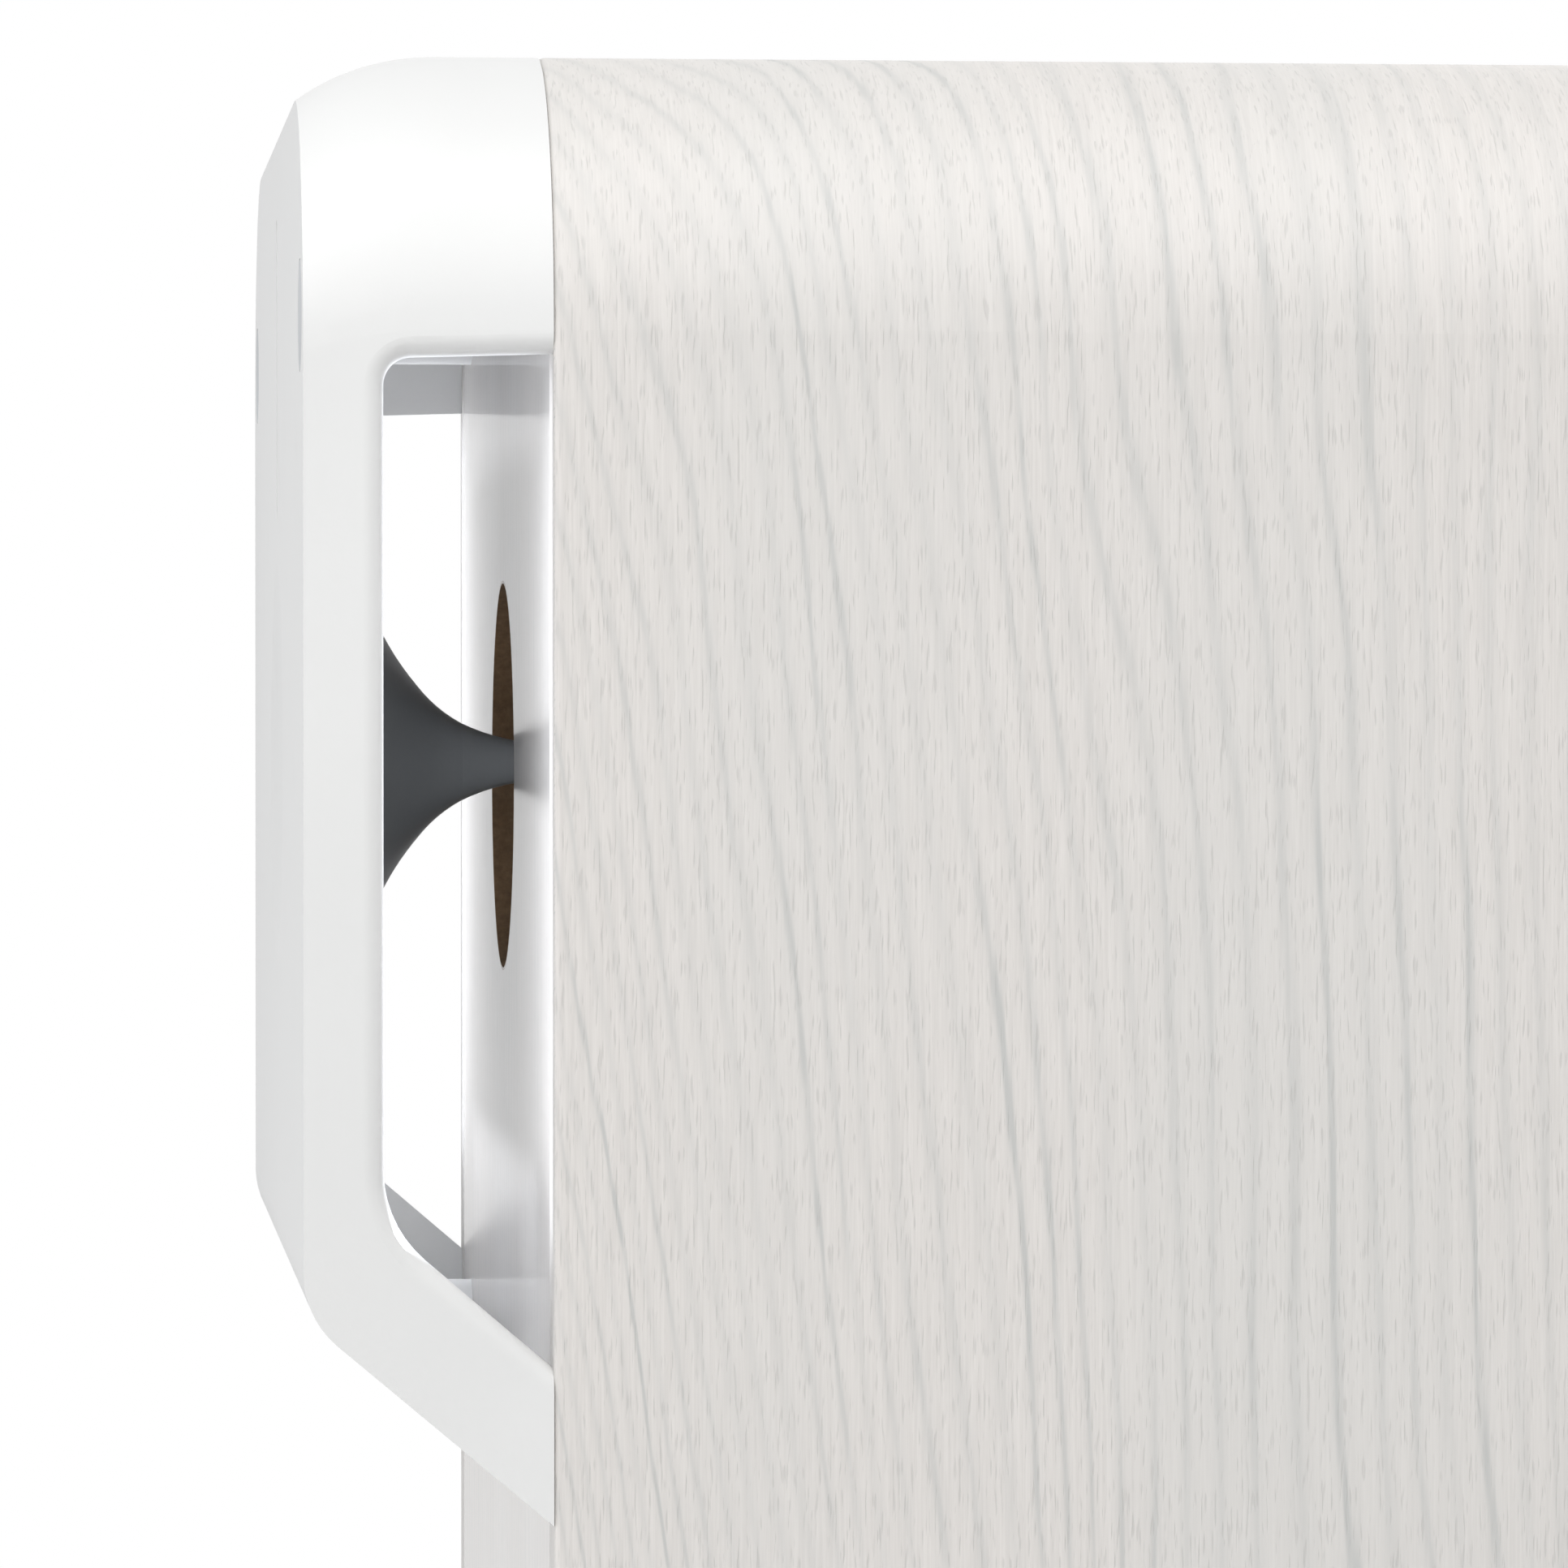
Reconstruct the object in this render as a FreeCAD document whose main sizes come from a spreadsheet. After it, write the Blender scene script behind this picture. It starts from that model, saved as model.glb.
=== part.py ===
import FreeCAD, Part
import math
import os
import re
import Sketcher

# Compact two-way bass-reflex bookshelf loudspeaker, millimetres.
# Frame: +Z up, front faces -Y, rear faces +Y, origin at the centre of the footprint.

V = FreeCAD.Vector
UPRIGHT = FreeCAD.Rotation()
REARWARD = FreeCAD.Rotation(V(1, 0, 0), -90)    # local z runs toward the rear
FRONTWARD = FreeCAD.Rotation(V(1, 0, 0), 90)    # local z runs toward the front
ACROSS = FreeCAD.Rotation(V(0, 1, 0), 90)       # local z runs toward +X
ARC_SHARE = 0.45       # of the shorter run beside a cable corner
KNOB_FLUTES = 16
BASKET_WINDOWS = 8

DIMENSIONS = {
    # cabinet shell
    "cab_width": 190, "cab_height": 314, "cab_corner": 31, "cab_wall": 15,
    "cab_rebate": 7.5, "cab_edge_round": 0.7, "cab_mid_z": 160, "cab_top_z": 317,
    "cab_rear_y": 102.6, "cab_shell_depth": 216.6, "cab_front_y": -114,
    "glue_gap": 0.15, "baffle_thick": 18, "baffle_back_y": -96, "rear_thick": 15,
    "rear_inner_y": 87.6, "floor_z": 18,
    # front skin
    "fascia_thick": 4, "fascia_front_y": -118, "fascia_edge": 1.6, "fascia_gap": 0.3,
    # brace and damping
    "brace_z": 176, "brace_thick": 12, "brace_depth": 137, "brace_window_x": 100,
    "brace_window_y": 86, "lining_thick": 8, "lining_depth": 120, "lining_height": 130,
    "lining_z": 35, "lining_rear_y": 80, "lining_top_width": 118, "lining_round": 3,
    "brace_corner": 2, "brace_window_corner": 15,
    # bass-reflex port
    "port_bore": 22.5, "port_z": 238.1, "port_wall": 2, "port_length": 116,
    "port_seat": 9, "port_fit": 0.1,
    # rear hood
    "hood_depth": 26.4, "hood_wall": 3, "hood_crown_run": 15, "hood_crown_drop": 5,
    "hood_crown_round": 25, "hood_ramp_knee": 135.05, "hood_ramp_foot": 157.2,
    "hood_knee_round": 10, "open_top": 33.9, "open_top_front": 33.4, "open_arm": 8.5,
    "open_knee": 125.4, "open_foot": 140.7, "open_knee_round": 12.5, "open_corner": 3,
    "open_lip_round": 2.1, "hood_seam": 33.35,
    "boss_radius": 4, "boss_x": 70, "boss_top_drop": 24, "boss_low_drop": 146.5,
    "boss_low_radius": 3.5, "boss_low_length": 8, "boss_bore": 1.5,
    "groove_width": 3, "groove_deep": 0.8, "groove_top_drop": 14, "groove_end_gap": 5,
    "dish_radius": 23, "dish_deep": 1.1, "bumper_radius": 6, "bumper_thick": 1.2,
    "bumper_edge": 0.2, "bumper_fit": 0.1, "bumper_x": 84, "bumper_drop": 29,
    # diffuser cone in the hood
    "cone_z": 239.7, "cone_drop": 77.3, "cone_flange": 36, "cone_flange_thick": 0.9,
    "cone_rim": 22.5,
    # feet and threaded insert
    "foot_radius": 9, "foot_height": 3, "foot_chamfer": 1,
    "foot_x": 70, "foot_front_y": -88, "foot_rear_y": 78,
    "insert_z": 128, "insert_bore": 3.175, "insert_radius": 5, "insert_length": 12,
    "insert_flange": 8, "insert_flange_thick": 1,
    # terminals
    "term_z": 75, "term_width": 84, "term_height": 54, "term_corner": 6, "term_thick": 3,
    "term_gasket": 0.8, "term_cut_width": 60, "term_cut_height": 34, "term_cut_corner": 5,
    "term_screw_x": 36, "term_screw_z": 21, "post_half_pitch": 9.525, "post_radius": 3,
    "post_outer_y": 126, "post_length": 34, "banana_bore": 2.05, "banana_depth": 18,
    "wire_hole": 1.25, "wire_hole_y": 111.2, "collar_radius": 8.5, "collar_thick": 3,
    "collar_y": 106.4, "clamp_radius": 6.6, "clamp_thick": 1, "clamp_y": 109.45,
    "knob_radius": 7.6, "knob_length": 14, "knob_y": 110.5, "knob_bore": 3.3,
    "knob_flute": 1.1, "nut_radius": 5.77, "nut_thick": 4, "nut_outer_y": 99.4,
    "nut_inner_y": 94.6, "lug_y": 98.6, "lug_thick": 0.8, "lug_radius": 6, "lug_tail": 6,
    "lug_tail_drop": 15, "term_edge": 0.8, "post_fit": 0.05, "post_chamfer": 0.3, "drill_tip": 1,
    "knob_chamfer": 0.6, "knob_flute_out": 0.4,
    # crossover
    "board_width": 110, "board_depth": 80, "board_thick": 1.6, "board_z": 23, "board_y": 35,
    "board_top_z": 24.6, "standoff_radius": 3, "standoff_height": 5, "standoff_x": 49,
    "standoff_y": 34, "coil_large": 19, "coil_large_height": 20, "coil_small": 10,
    "coil_small_height": 14, "coil_flange": 1.5, "film_radius": 6, "film_length": 28,
    "lytic_radius": 8, "lytic_length": 32, "resistor_side": 9, "resistor_length": 22,
    "board_corner": 2, "coil_large_x": 30, "coil_large_y": 18, "coil_small_x": 5,
    "coil_small_y": 17, "coil_core_share": 0.35, "coil_drum_share": 0.45, "coil_wire_drop": 1,
    "film_edge": 1, "film_x": 12, "film_near_y": 36, "film_far_y": 52, "lytic_edge": 0.8,
    "lytic_bead": 3, "lytic_x": 46, "resistor_x": 30, "resistor_near_y": 5,
    "resistor_far_y": 20, "resistor_edge": 1,
    # woofer, measured along its axis from the fascia front
    "woofer_z": 100, "woofer_flange": 75, "woofer_flange_thick": 4, "woofer_cut": 61.6,
    "woofer_screw_circle": 70.5, "woofer_cone_edge": 50.5, "woofer_cone_back": 21,
    "cone_paper": 0.8, "roll_radius": 4.5,
    "roll_skin": 0.6, "roll_mid": 55.6, "roll_seat": 1.9, "coil_inner": 12.7,
    "coil_outer": 13.7, "former_outer": 13, "former_front": 19, "former_back": 53,
    "winding_front": 42, "pole_radius": 12.3, "plate_bore": 14.1, "plate_radius": 36,
    "plate_front": 45, "plate_thick": 5, "magnet_radius": 40, "magnet_bore": 18,
    "magnet_thick": 15, "yoke_thick": 5, "yoke_radius": 38, "vent_radius": 4,
    "spider_outer": 41, "spider_s": 29.5, "spider_skin": 0.5, "cap_radius": 18.5,
    "basket_inner": 60, "basket_lip": 67, "basket_lip_edge": 0.3, "basket_edge": 0.6,
    "basket_top": 60.8, "basket_foot": 46, "basket_shelf": 30, "basket_neck": 37,
    "basket_skin": 3, "basket_hole": 20, "basket_step": 1.5, "basket_lean": 0.4,
    "window_inner": 47.4, "window_outer": 57.3, "window_narrow": 9, "window_wide": 11,
    "cap_front": 9.8, "cap_rise": 6, "cap_sphere": 31.5, "cap_skin": 0.6,
    # tweeter, measured along its axis from the fascia front
    "tweeter_z": 235, "tweeter_plate": 48, "tweeter_plate_thick": 4, "tweeter_cut": 36,
    "tweeter_screw_circle": 41, "throat_radius": 15.6, "guide_radius": 25, "dome_radius": 12.5,
    "dome_rise": 4.5, "dome_skin": 0.3, "dome_base": 5.7, "tweeter_pole": 11.6,
    "tweeter_coil_inner": 12, "tweeter_coil_outer": 12.7, "tweeter_gap": 13.1,
    "tweeter_top": 6, "tweeter_top_thick": 3, "tweeter_top_radius": 32,
    "tweeter_magnet": 34, "tweeter_magnet_bore": 18, "tweeter_magnet_thick": 8,
    "tweeter_yoke_thick": 4,
    # screws
    "screw_head": 3.6, "screw_head_thick": 2.2, "screw_shank": 1.75, "screw_length": 15,
    "screw_pilot": 1.8, "screw_clear": 2, "screw_sink": 2.4, "small_head": 2.6,
    "small_head_thick": 1.6, "small_shank": 1.4, "small_screw_length": 6.4, "small_fit": 0.1,
    "head_fit": 0.2, "long_screw_length": 21,
    # grille
    "grille_width": 184, "grille_height": 308, "grille_corner": 28, "grille_bar": 14,
    "grille_thick": 10, "grille_back_y": -118.5, "grille_cross_z": 181, "grille_cross": 6,
    "cloth_thick": 0.5, "cloth_wrap": 8, "magnet_disc": 4, "magnet_disc_thick": 3,
    "magnet_x": 82.5, "magnet_top_z": 250, "magnet_low_z": 66,
    "keeper_radius": 4.2, "keeper_fit": 0.1,
    "keeper_thick": 2,
    # wiring
    "wire_radius": 1.2, "tab_width": 5, "tab_thick": 0.8, "tab_x": 6, "woofer_tab_s": 38.5,
    "woofer_tab_drop": 44, "woofer_tab_reach": 7, "tweeter_tab_s": 21, "tweeter_tab_low": 20,
    "tweeter_tab_high": 14, "tweeter_tab_reach": 8, "lug_tab_drop": 12, "lug_lead_y": 68,
    "woofer_lead_z": 40, "woofer_lead_y": 3, "tweeter_lead_y": -63, "tweeter_lead_x": 46,
    "tweeter_lead_z": 36, "tweeter_lead_end_y": 8, "lead_step_y": 4, "lead_step_x": 5,
}

# radius, distance behind the cabinet and bend to the next station (0 = straight)
STATIONS = {
    "cone_skin": ((0, -9, 0), (1.1, -8.6, 0), (1.9, -6, 0), (2.5, -1.45, 24), (4.56, 4.9, 16.5),
                  (9, 10.1, 33), (14.6, 13.9, 50), (23.5, 18, 90)),
    "cone_hollow": ((20.8, 20.4, 0), (15.5, 16.9, 0), (10, 13.2, 0), (6, 9.8, 0), (3, 7.2, 0),
                    (0, 6.2, 0)),
}

DOC = FreeCAD.newDocument("BookshelfSpeaker")
SHEET = DOC.addObject("Spreadsheet::Sheet", "dims")
EXPORTS = []


# ---------------------------------------------------------------- table and expressions

def fill_table():
    """Write every driving dimension as one aliased row."""
    rows = dict(DIMENSIONS)
    for name, stops in STATIONS.items():
        for i, stop in enumerate(stops, 1):
            rows.update(zip(("%s_%s%d" % (name, kind, i) for kind in "ryb"), stop))
    for row, (alias, value) in enumerate(rows.items(), start=1):
        SHEET.set("A%d" % row, alias)
        SHEET.set("B%d" % row, str(value))
        SHEET.setAlias("B%d" % row, alias)
    DOC.recompute()


def linked(text):
    """Prefix each dimension name with the table it lives in."""
    return re.sub(r"\b(?!sqrt\b)[a-z]\w+", lambda m: "dims." + m.group(0), text)


def value(text):
    """Number an expression stands for now."""
    return float(SHEET.evalExpression(linked(text)))


def bind(obj, prop, text):
    obj.setExpression(prop, linked(text))


def place(obj, at, turn=UPRIGHT):
    """Fixed orientation, position driven by the table."""
    obj.Placement = FreeCAD.Placement(V(*[value(t) for t in at]), turn)
    for axis, text in zip("xyz", at):
        bind(obj, ".Placement.Base." + axis, text)


# ---------------------------------------------------------------- bodies and sketches

def new_body(name, at=("0", "0", "0"), turn=UPRIGHT, export=True):
    body = DOC.addObject("PartDesign::Body", name)
    body.Label = name
    place(body, at, turn)
    if export:
        EXPORTS.append(body)
    return body


def sketch_on(body, plane="XY_Plane", lift="0"):
    """Sketch on one of the body's own planes, lifted along that plane's normal."""
    sketch = body.newObject("Sketcher::SketchObject", body.Name + "_sketch")
    home = [f for f in body.Origin.OriginFeatures if f.Role == plane][0]
    sketch.AttachmentSupport = [(home, "")]
    sketch.MapMode = "FlatFace"
    bind(sketch, ".AttachmentOffset.Base.z", lift)
    return sketch


def pin(sketch, geo, point, axis, text):
    """Tie one coordinate of a sketch point to the table."""
    number = value(text)
    if abs(number) < 1e-9:
        sketch.addConstraint(Sketcher.Constraint("PointOnObject", geo, point, -2 if axis == "X" else -1))
        return
    index = sketch.addConstraint(
        Sketcher.Constraint("Distance" + axis, -1, 1, geo, point, number))
    sketch.setExpression("Constraints[%d]" % index, linked(text))


def arc_through(start, end, radius, side):
    """Minor arc between two points; side +1 puts the centre on the left of start->end."""
    chord = end - start
    middle = (start + end) * 0.5
    height = math.sqrt(max(radius ** 2 - (chord.Length / 2) ** 2, 0))
    left = V(-chord.y, chord.x, 0).normalize()
    centre = middle + left * (height * side)
    first, last = (start, end) if side > 0 else (end, start)
    begin, finish = (math.atan2(p.y - centre.y, p.x - centre.x) for p in (first, last))
    if finish < begin:
        finish += 2 * math.pi
    return Part.ArcOfCircle(Part.Circle(centre, V(0, 0, 1), radius), begin, finish)


def outline(sketch, nodes):
    """Closed profile; a node is (x, y) or (x, y, radius, side) when an arc leaves it."""
    points = [V(value(n[0]), value(n[1]), 0) for n in nodes]
    count = len(nodes)
    base = sketch.GeometryCount
    flipped = []
    for i, node in enumerate(nodes):
        start, end = points[i], points[(i + 1) % count]
        if len(node) == 2:
            sketch.addGeometry(Part.LineSegment(start, end))
            flipped.append(False)
            continue
        sketch.addGeometry(arc_through(start, end, value(node[2]), node[3]))
        drawn = sketch.getPoint(base + i, 1)
        flipped.append((drawn - start).Length > (drawn - end).Length)
    for i in range(count):
        nxt = (i + 1) % count
        tail = 1 if flipped[i] else 2
        head = 2 if flipped[nxt] else 1
        sketch.addConstraint(Sketcher.Constraint("Coincident", base + i, tail, base + nxt, head))
    for i, node in enumerate(nodes):
        start = 2 if flipped[i] else 1
        pin(sketch, base + i, start, "X", node[0])
        pin(sketch, base + i, start, "Y", node[1])
        if len(node) == 4:
            index = sketch.addConstraint(Sketcher.Constraint("Radius", base + i, value(node[2])))
            sketch.setExpression("Constraints[%d]" % index, linked(node[2]))


def rounded(width, height, radius, x="0", y="0"):
    """Nodes of a rounded rectangle centred on (x, y)."""
    right, top = "(%s)/2" % width, "(%s)/2" % height
    nodes = []
    for sx, sy in (1, -1), (1, 1), (-1, 1), (-1, -1):
        full = ("%s + %d*%s" % (x, sx, right), "%s + %d*%s" % (y, sy, top))
        inner = ("%s - %d*(%s)" % (full[0], sx, radius), "%s - %d*(%s)" % (full[1], sy, radius))
        ends = [(inner[0], full[1]), (full[0], inner[1])]
        if sx * sy > 0:
            ends.reverse()
        nodes += [ends[0] + (radius, 1), ends[1]]
    return nodes


def circle(sketch, radius, x="0", y="0"):
    centre = V(value(x), value(y), 0)
    geo = sketch.addGeometry(Part.Circle(centre, V(0, 0, 1), value(radius)))
    pin(sketch, geo, 3, "X", x)
    pin(sketch, geo, 3, "Y", y)
    index = sketch.addConstraint(Sketcher.Constraint("Radius", geo, value(radius)))
    sketch.setExpression("Constraints[%d]" % index, linked(radius))


def pad(body, sketch, length, symmetric=False, backward=False):
    feature = body.newObject("PartDesign::Pad", body.Name + "_pad")
    feature.Profile = sketch
    bind(feature, "Length", length)
    feature.SideType = "Symmetric" if symmetric else "One side"
    feature.Reversed = backward
    sketch.Visibility = False
    DOC.recompute()
    return feature


def pocket(body, sketch, length=None, symmetric=False, upward=True):
    """Remove material along the sketch normal (upward) or against it."""
    feature = body.newObject("PartDesign::Pocket", body.Name + "_pocket")
    feature.Profile = sketch
    if length is None:
        feature.Type = "ThroughAll"
    else:
        bind(feature, "Length", length)
    feature.SideType = "Symmetric" if symmetric else "One side"
    feature.Reversed = upward
    sketch.Visibility = False
    DOC.recompute()
    return feature


def turn_profile(body, nodes, cut=False):
    """Revolve a (radius, height) profile about the body's z axis."""
    sketch = sketch_on(body, "XZ_Plane")
    outline(sketch, nodes)
    kind = "PartDesign::Groove" if cut else "PartDesign::Revolution"
    feature = body.newObject(kind, body.Name + "_turned")
    feature.Profile = sketch
    feature.ReferenceAxis = (sketch, ["V_Axis"])
    feature.Angle = 360
    sketch.Visibility = False
    DOC.recompute()
    return feature


def polar(body, feature, count):
    pattern = body.newObject("PartDesign::PolarPattern", body.Name + "_pattern")
    pattern.Originals = [feature]
    axis = [f for f in body.Origin.OriginFeatures if f.Role == "Z_Axis"][0]
    pattern.Axis = (axis, [""])
    pattern.Angle = 360
    pattern.Occurrences = count
    body.Tip = pattern
    DOC.recompute()
    return pattern


def dress(body, kind, size, test):
    """Fillet or chamfer every edge of the body whose middle passes the test."""
    tip = body.Tip
    names = ["Edge%d" % (i + 1) for i, edge in enumerate(tip.Shape.Edges)
             if test(edge, edge.CenterOfMass)]
    feature = body.newObject("PartDesign::" + kind, body.Name + "_" + kind.lower())
    feature.Base = (tip, names)
    bind(feature, "Radius" if kind == "Fillet" else "Size", size)
    DOC.recompute()
    return feature


def turned(name, nodes, at, turn=REARWARD):
    body = new_body(name, at, turn)
    turn_profile(body, nodes)
    return body


def ring(name, inner, outer, start, length, at, turn=REARWARD):
    """Plain annular piece from start to start+length along its axis."""
    nodes = [(inner, start), (outer, start), (outer, "%s + %s" % (start, length)),
             (inner, "%s + %s" % (start, length))]
    return turned(name, nodes, at, turn)


def copies(name, template, spots):
    """One node holding identical pieces at several places."""
    links = []
    for at, turn in spots:
        link = DOC.addObject("App::Link", name + "_copy")
        link.LinkedObject = template
        link.LinkTransform = False
        place(link, at, turn)
        links.append(link)
    group = DOC.addObject("Part::Compound", name)
    group.Label = name
    group.Links = links
    EXPORTS.append(group)
    return group


def screw_template(name, head, head_thick, shank, length):
    """Pan-head screw with a cross recess, head at the origin, tip along +z."""
    body = new_body(name, export=False)
    turn_profile(body, [("0", "0-" + head_thick), (head + "*0.75", "0-" + head_thick),
                        (head, "0-" + head_thick + "*0.45"), (head, "0"), (shank, "0"),
                        (shank, length + "-2"), ("0", length)])
    sketch = sketch_on(body, lift="0-" + head_thick)
    arm, half = head + "*0.55", head + "*0.12"
    outline(sketch, [(arm, "0-" + half), (arm, half), (half, half), (half, arm),
                     ("0-" + half, arm), ("0-" + half, half), ("0-" + arm, half),
                     ("0-" + arm, "0-" + half), ("0-" + half, "0-" + half),
                     ("0-" + half, "0-" + arm), (half, "0-" + arm), (half, "0-" + half)])
    pocket(body, sketch, head_thick + "*0.55")
    return body


def corners_of(x, z):
    """Four sign combinations of a symmetric hole pattern."""
    return [("%d*(%s)" % (sx, x), "%d*(%s)" % (sz, z)) for sx in (-1, 1) for sz in (-1, 1)]


# ---------------------------------------------------------------- cabinet

def cabinet_wrap():
    body = new_body("cabinet_wrap", ("0", "cab_rear_y", "cab_mid_z"), FRONTWARD)
    sketch = sketch_on(body)
    outline(sketch, rounded("cab_width", "cab_height", "cab_corner"))
    pad(body, sketch, "cab_shell_depth")
    sketch = sketch_on(body)
    outline(sketch, rounded("cab_width-2*cab_wall", "cab_height-2*cab_wall",
                            "cab_corner-cab_wall"))
    pocket(body, sketch)
    step = rounded("cab_width-2*cab_rebate", "cab_height-2*cab_rebate", "cab_corner-cab_rebate")
    sketch = sketch_on(body)
    outline(sketch, step)
    pocket(body, sketch, "rear_thick")
    sketch = sketch_on(body, lift="cab_shell_depth")
    outline(sketch, step)
    pocket(body, sketch, "baffle_thick", upward=False)
    half_w, half_h, depth = (value(t) for t in ("cab_width/2", "cab_height/2", "cab_shell_depth"))

    def outer_rim(edge, mid):
        box = edge.BoundBox
        reach_x = max(abs(box.XMin), abs(box.XMax)) > half_w - 0.01
        reach_y = max(abs(box.YMin), abs(box.YMax)) > half_h - 0.01
        return min(abs(mid.z), abs(mid.z - depth)) < 0.01 and (reach_x or reach_y)

    dress(body, "Fillet", "cab_edge_round", outer_rim)


def front_baffle():
    body = new_body("front_baffle", ("0", "baffle_back_y", "cab_mid_z"), FRONTWARD)
    sketch = sketch_on(body)
    outline(sketch, rounded("cab_width-2*cab_rebate-2*glue_gap",
                            "cab_height-2*cab_rebate-2*glue_gap",
                            "cab_corner-cab_rebate-glue_gap"))
    pad(body, sketch, "baffle_thick")
    sketch = sketch_on(body)
    woofer_y, tweeter_y = "woofer_z-cab_mid_z", "tweeter_z-cab_mid_z"
    circle(sketch, "woofer_cut", "0", woofer_y)
    circle(sketch, "tweeter_cut", "0", tweeter_y)
    for middle, reach in ((woofer_y, "woofer_screw_circle"), (tweeter_y, "tweeter_screw_circle")):
        for x, y in corners_of(reach + "*0.70711", reach + "*0.70711"):
            circle(sketch, "screw_pilot", x, middle + " + " + y)
    pocket(body, sketch)
    sketch = sketch_on(body, lift="baffle_thick")
    for sign in "-", "":
        for height in ("magnet_top_z", "magnet_low_z"):
            circle(sketch, "keeper_radius+keeper_fit", sign + "magnet_x", height + "-cab_mid_z")
    pocket(body, sketch, "keeper_thick", upward=False)


def front_fascia():
    body = new_body("front_fascia", ("0", "cab_front_y", "cab_mid_z"), FRONTWARD)
    sketch = sketch_on(body)
    outline(sketch, rounded("cab_width", "cab_height", "cab_corner"))
    pad(body, sketch, "fascia_thick")
    sketch = sketch_on(body)
    circle(sketch, "woofer_flange+fascia_gap", "0", "woofer_z-cab_mid_z")
    circle(sketch, "tweeter_plate+fascia_gap", "0", "tweeter_z-cab_mid_z")
    pocket(body, sketch)
    half_w, half_h, front = (value(t) for t in ("cab_width/2", "cab_height/2", "fascia_thick"))

    def front_rim(edge, mid):
        box = edge.BoundBox
        reach = max(abs(box.XMin), abs(box.XMax)) > half_w - 0.01
        reach = reach or max(abs(box.YMin), abs(box.YMax)) > half_h - 0.01
        return abs(mid.z - front) < 0.01 and reach

    dress(body, "Fillet", "fascia_edge", front_rim)


def rear_panel():
    body = new_body("rear_panel", ("0", "cab_rear_y", "cab_mid_z"), FRONTWARD)
    sketch = sketch_on(body)
    outline(sketch, rounded("cab_width-2*cab_rebate-2*glue_gap",
                            "cab_height-2*cab_rebate-2*glue_gap",
                            "cab_corner-cab_rebate-glue_gap"))
    pad(body, sketch, "rear_thick")
    sketch = sketch_on(body)
    circle(sketch, "port_bore", "0", "port_z-cab_mid_z")
    circle(sketch, "insert_radius", "0", "insert_z-cab_mid_z")
    outline(sketch, rounded("term_cut_width", "term_cut_height", "term_cut_corner", "0",
                            "term_z-cab_mid_z"))
    for x, y in corners_of("term_screw_x", "term_screw_z"):
        circle(sketch, "screw_pilot", x, "term_z-cab_mid_z + " + y)
    for sign in "-", "":
        for drop in ("boss_top_drop", "boss_low_drop"):
            circle(sketch, "screw_clear", sign + "boss_x", "cab_top_z-cab_mid_z-" + drop)
    pocket(body, sketch)
    sketch = sketch_on(body, lift="rear_thick")
    circle(sketch, "port_bore+port_wall+port_fit", "0", "port_z-cab_mid_z")
    pocket(body, sketch, "port_seat", upward=False)


def window_brace():
    body = new_body("window_brace", ("0", "rear_inner_y", "brace_z"))
    sketch = sketch_on(body)
    outline(sketch, rounded("cab_width-2*cab_wall", "brace_depth", "brace_corner",
                            "0", "0-brace_depth/2"))
    pad(body, sketch, "brace_thick")
    sketch = sketch_on(body)
    outline(sketch, rounded("brace_window_x", "brace_window_y", "brace_window_corner",
                            "0", "0-brace_depth/2"))
    pocket(body, sketch)


def lining_pads():
    """Two wadding pads on the lower side walls and one under the top."""
    body = new_body("lining_sides", ("0", "lining_rear_y", "lining_z"))
    sketch = sketch_on(body)
    for side in "-", "":
        outline(sketch, rounded("lining_thick", "lining_depth", "lining_round",
                                side + "(cab_width-2*cab_wall-lining_thick)/2",
                                "0-lining_depth/2"))
    pad(body, sketch, "lining_height")
    body = new_body("lining_top", ("0", "lining_rear_y", "cab_top_z-cab_wall-lining_thick"))
    sketch = sketch_on(body)
    outline(sketch, rounded("lining_top_width", "lining_depth", "lining_round", "0",
                            "0-lining_depth/2"))
    pad(body, sketch, "lining_thick")


def port_tube():
    nodes = [("port_bore", "0"), ("port_bore+port_wall", "0"),
             ("port_bore+port_wall", "port_length"), ("port_bore", "port_length")]
    turned("port_tube", nodes, ("0", "rear_inner_y+port_seat-port_length", "port_z"))


def rubber_feet():
    foot = new_body("foot_template", export=False)
    turn_profile(foot, [("0", "0"), ("foot_radius-foot_chamfer", "0"),
                        ("foot_radius", "foot_height-foot_chamfer"),
                        ("foot_radius", "foot_height"), ("0", "foot_height")])
    spots = [((side + "foot_x", y, "0"), UPRIGHT)
             for side in ("-", "") for y in ("foot_front_y", "foot_rear_y")]
    copies("rubber_feet", foot, spots)


def threaded_insert():
    """Flanged brass insert for a stand screw, flange outside on the rear."""
    nodes = [("insert_bore", "0"), ("insert_radius", "0"), ("insert_radius", "insert_length"),
             ("insert_flange", "insert_length"),
             ("insert_flange", "insert_length+insert_flange_thick"),
             ("insert_bore", "insert_length+insert_flange_thick")]
    turned("threaded_insert", nodes, ("0", "cab_rear_y-insert_length", "insert_z"))


# ---------------------------------------------------------------- rear hood

def ramp_profile(sketch, inset):
    """Side view of the hood below the crown: back face and ramp."""
    ramp = "(hood_ramp_foot-hood_ramp_knee)/hood_depth"
    slant = "sqrt(1+(%s)*(%s))" % (ramp, ramp)
    back = "(hood_depth-(%s))" % inset
    foot = "(hood_ramp_foot-(%s)*%s)" % (inset, slant)
    knee = "(%s-%s*(%s))" % (foot, back, ramp)
    outline(sketch, [("0", "0-hood_seam"), ("0", "0-" + foot), (back, "0-" + knee),
                     (back, "0-hood_seam")])


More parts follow.
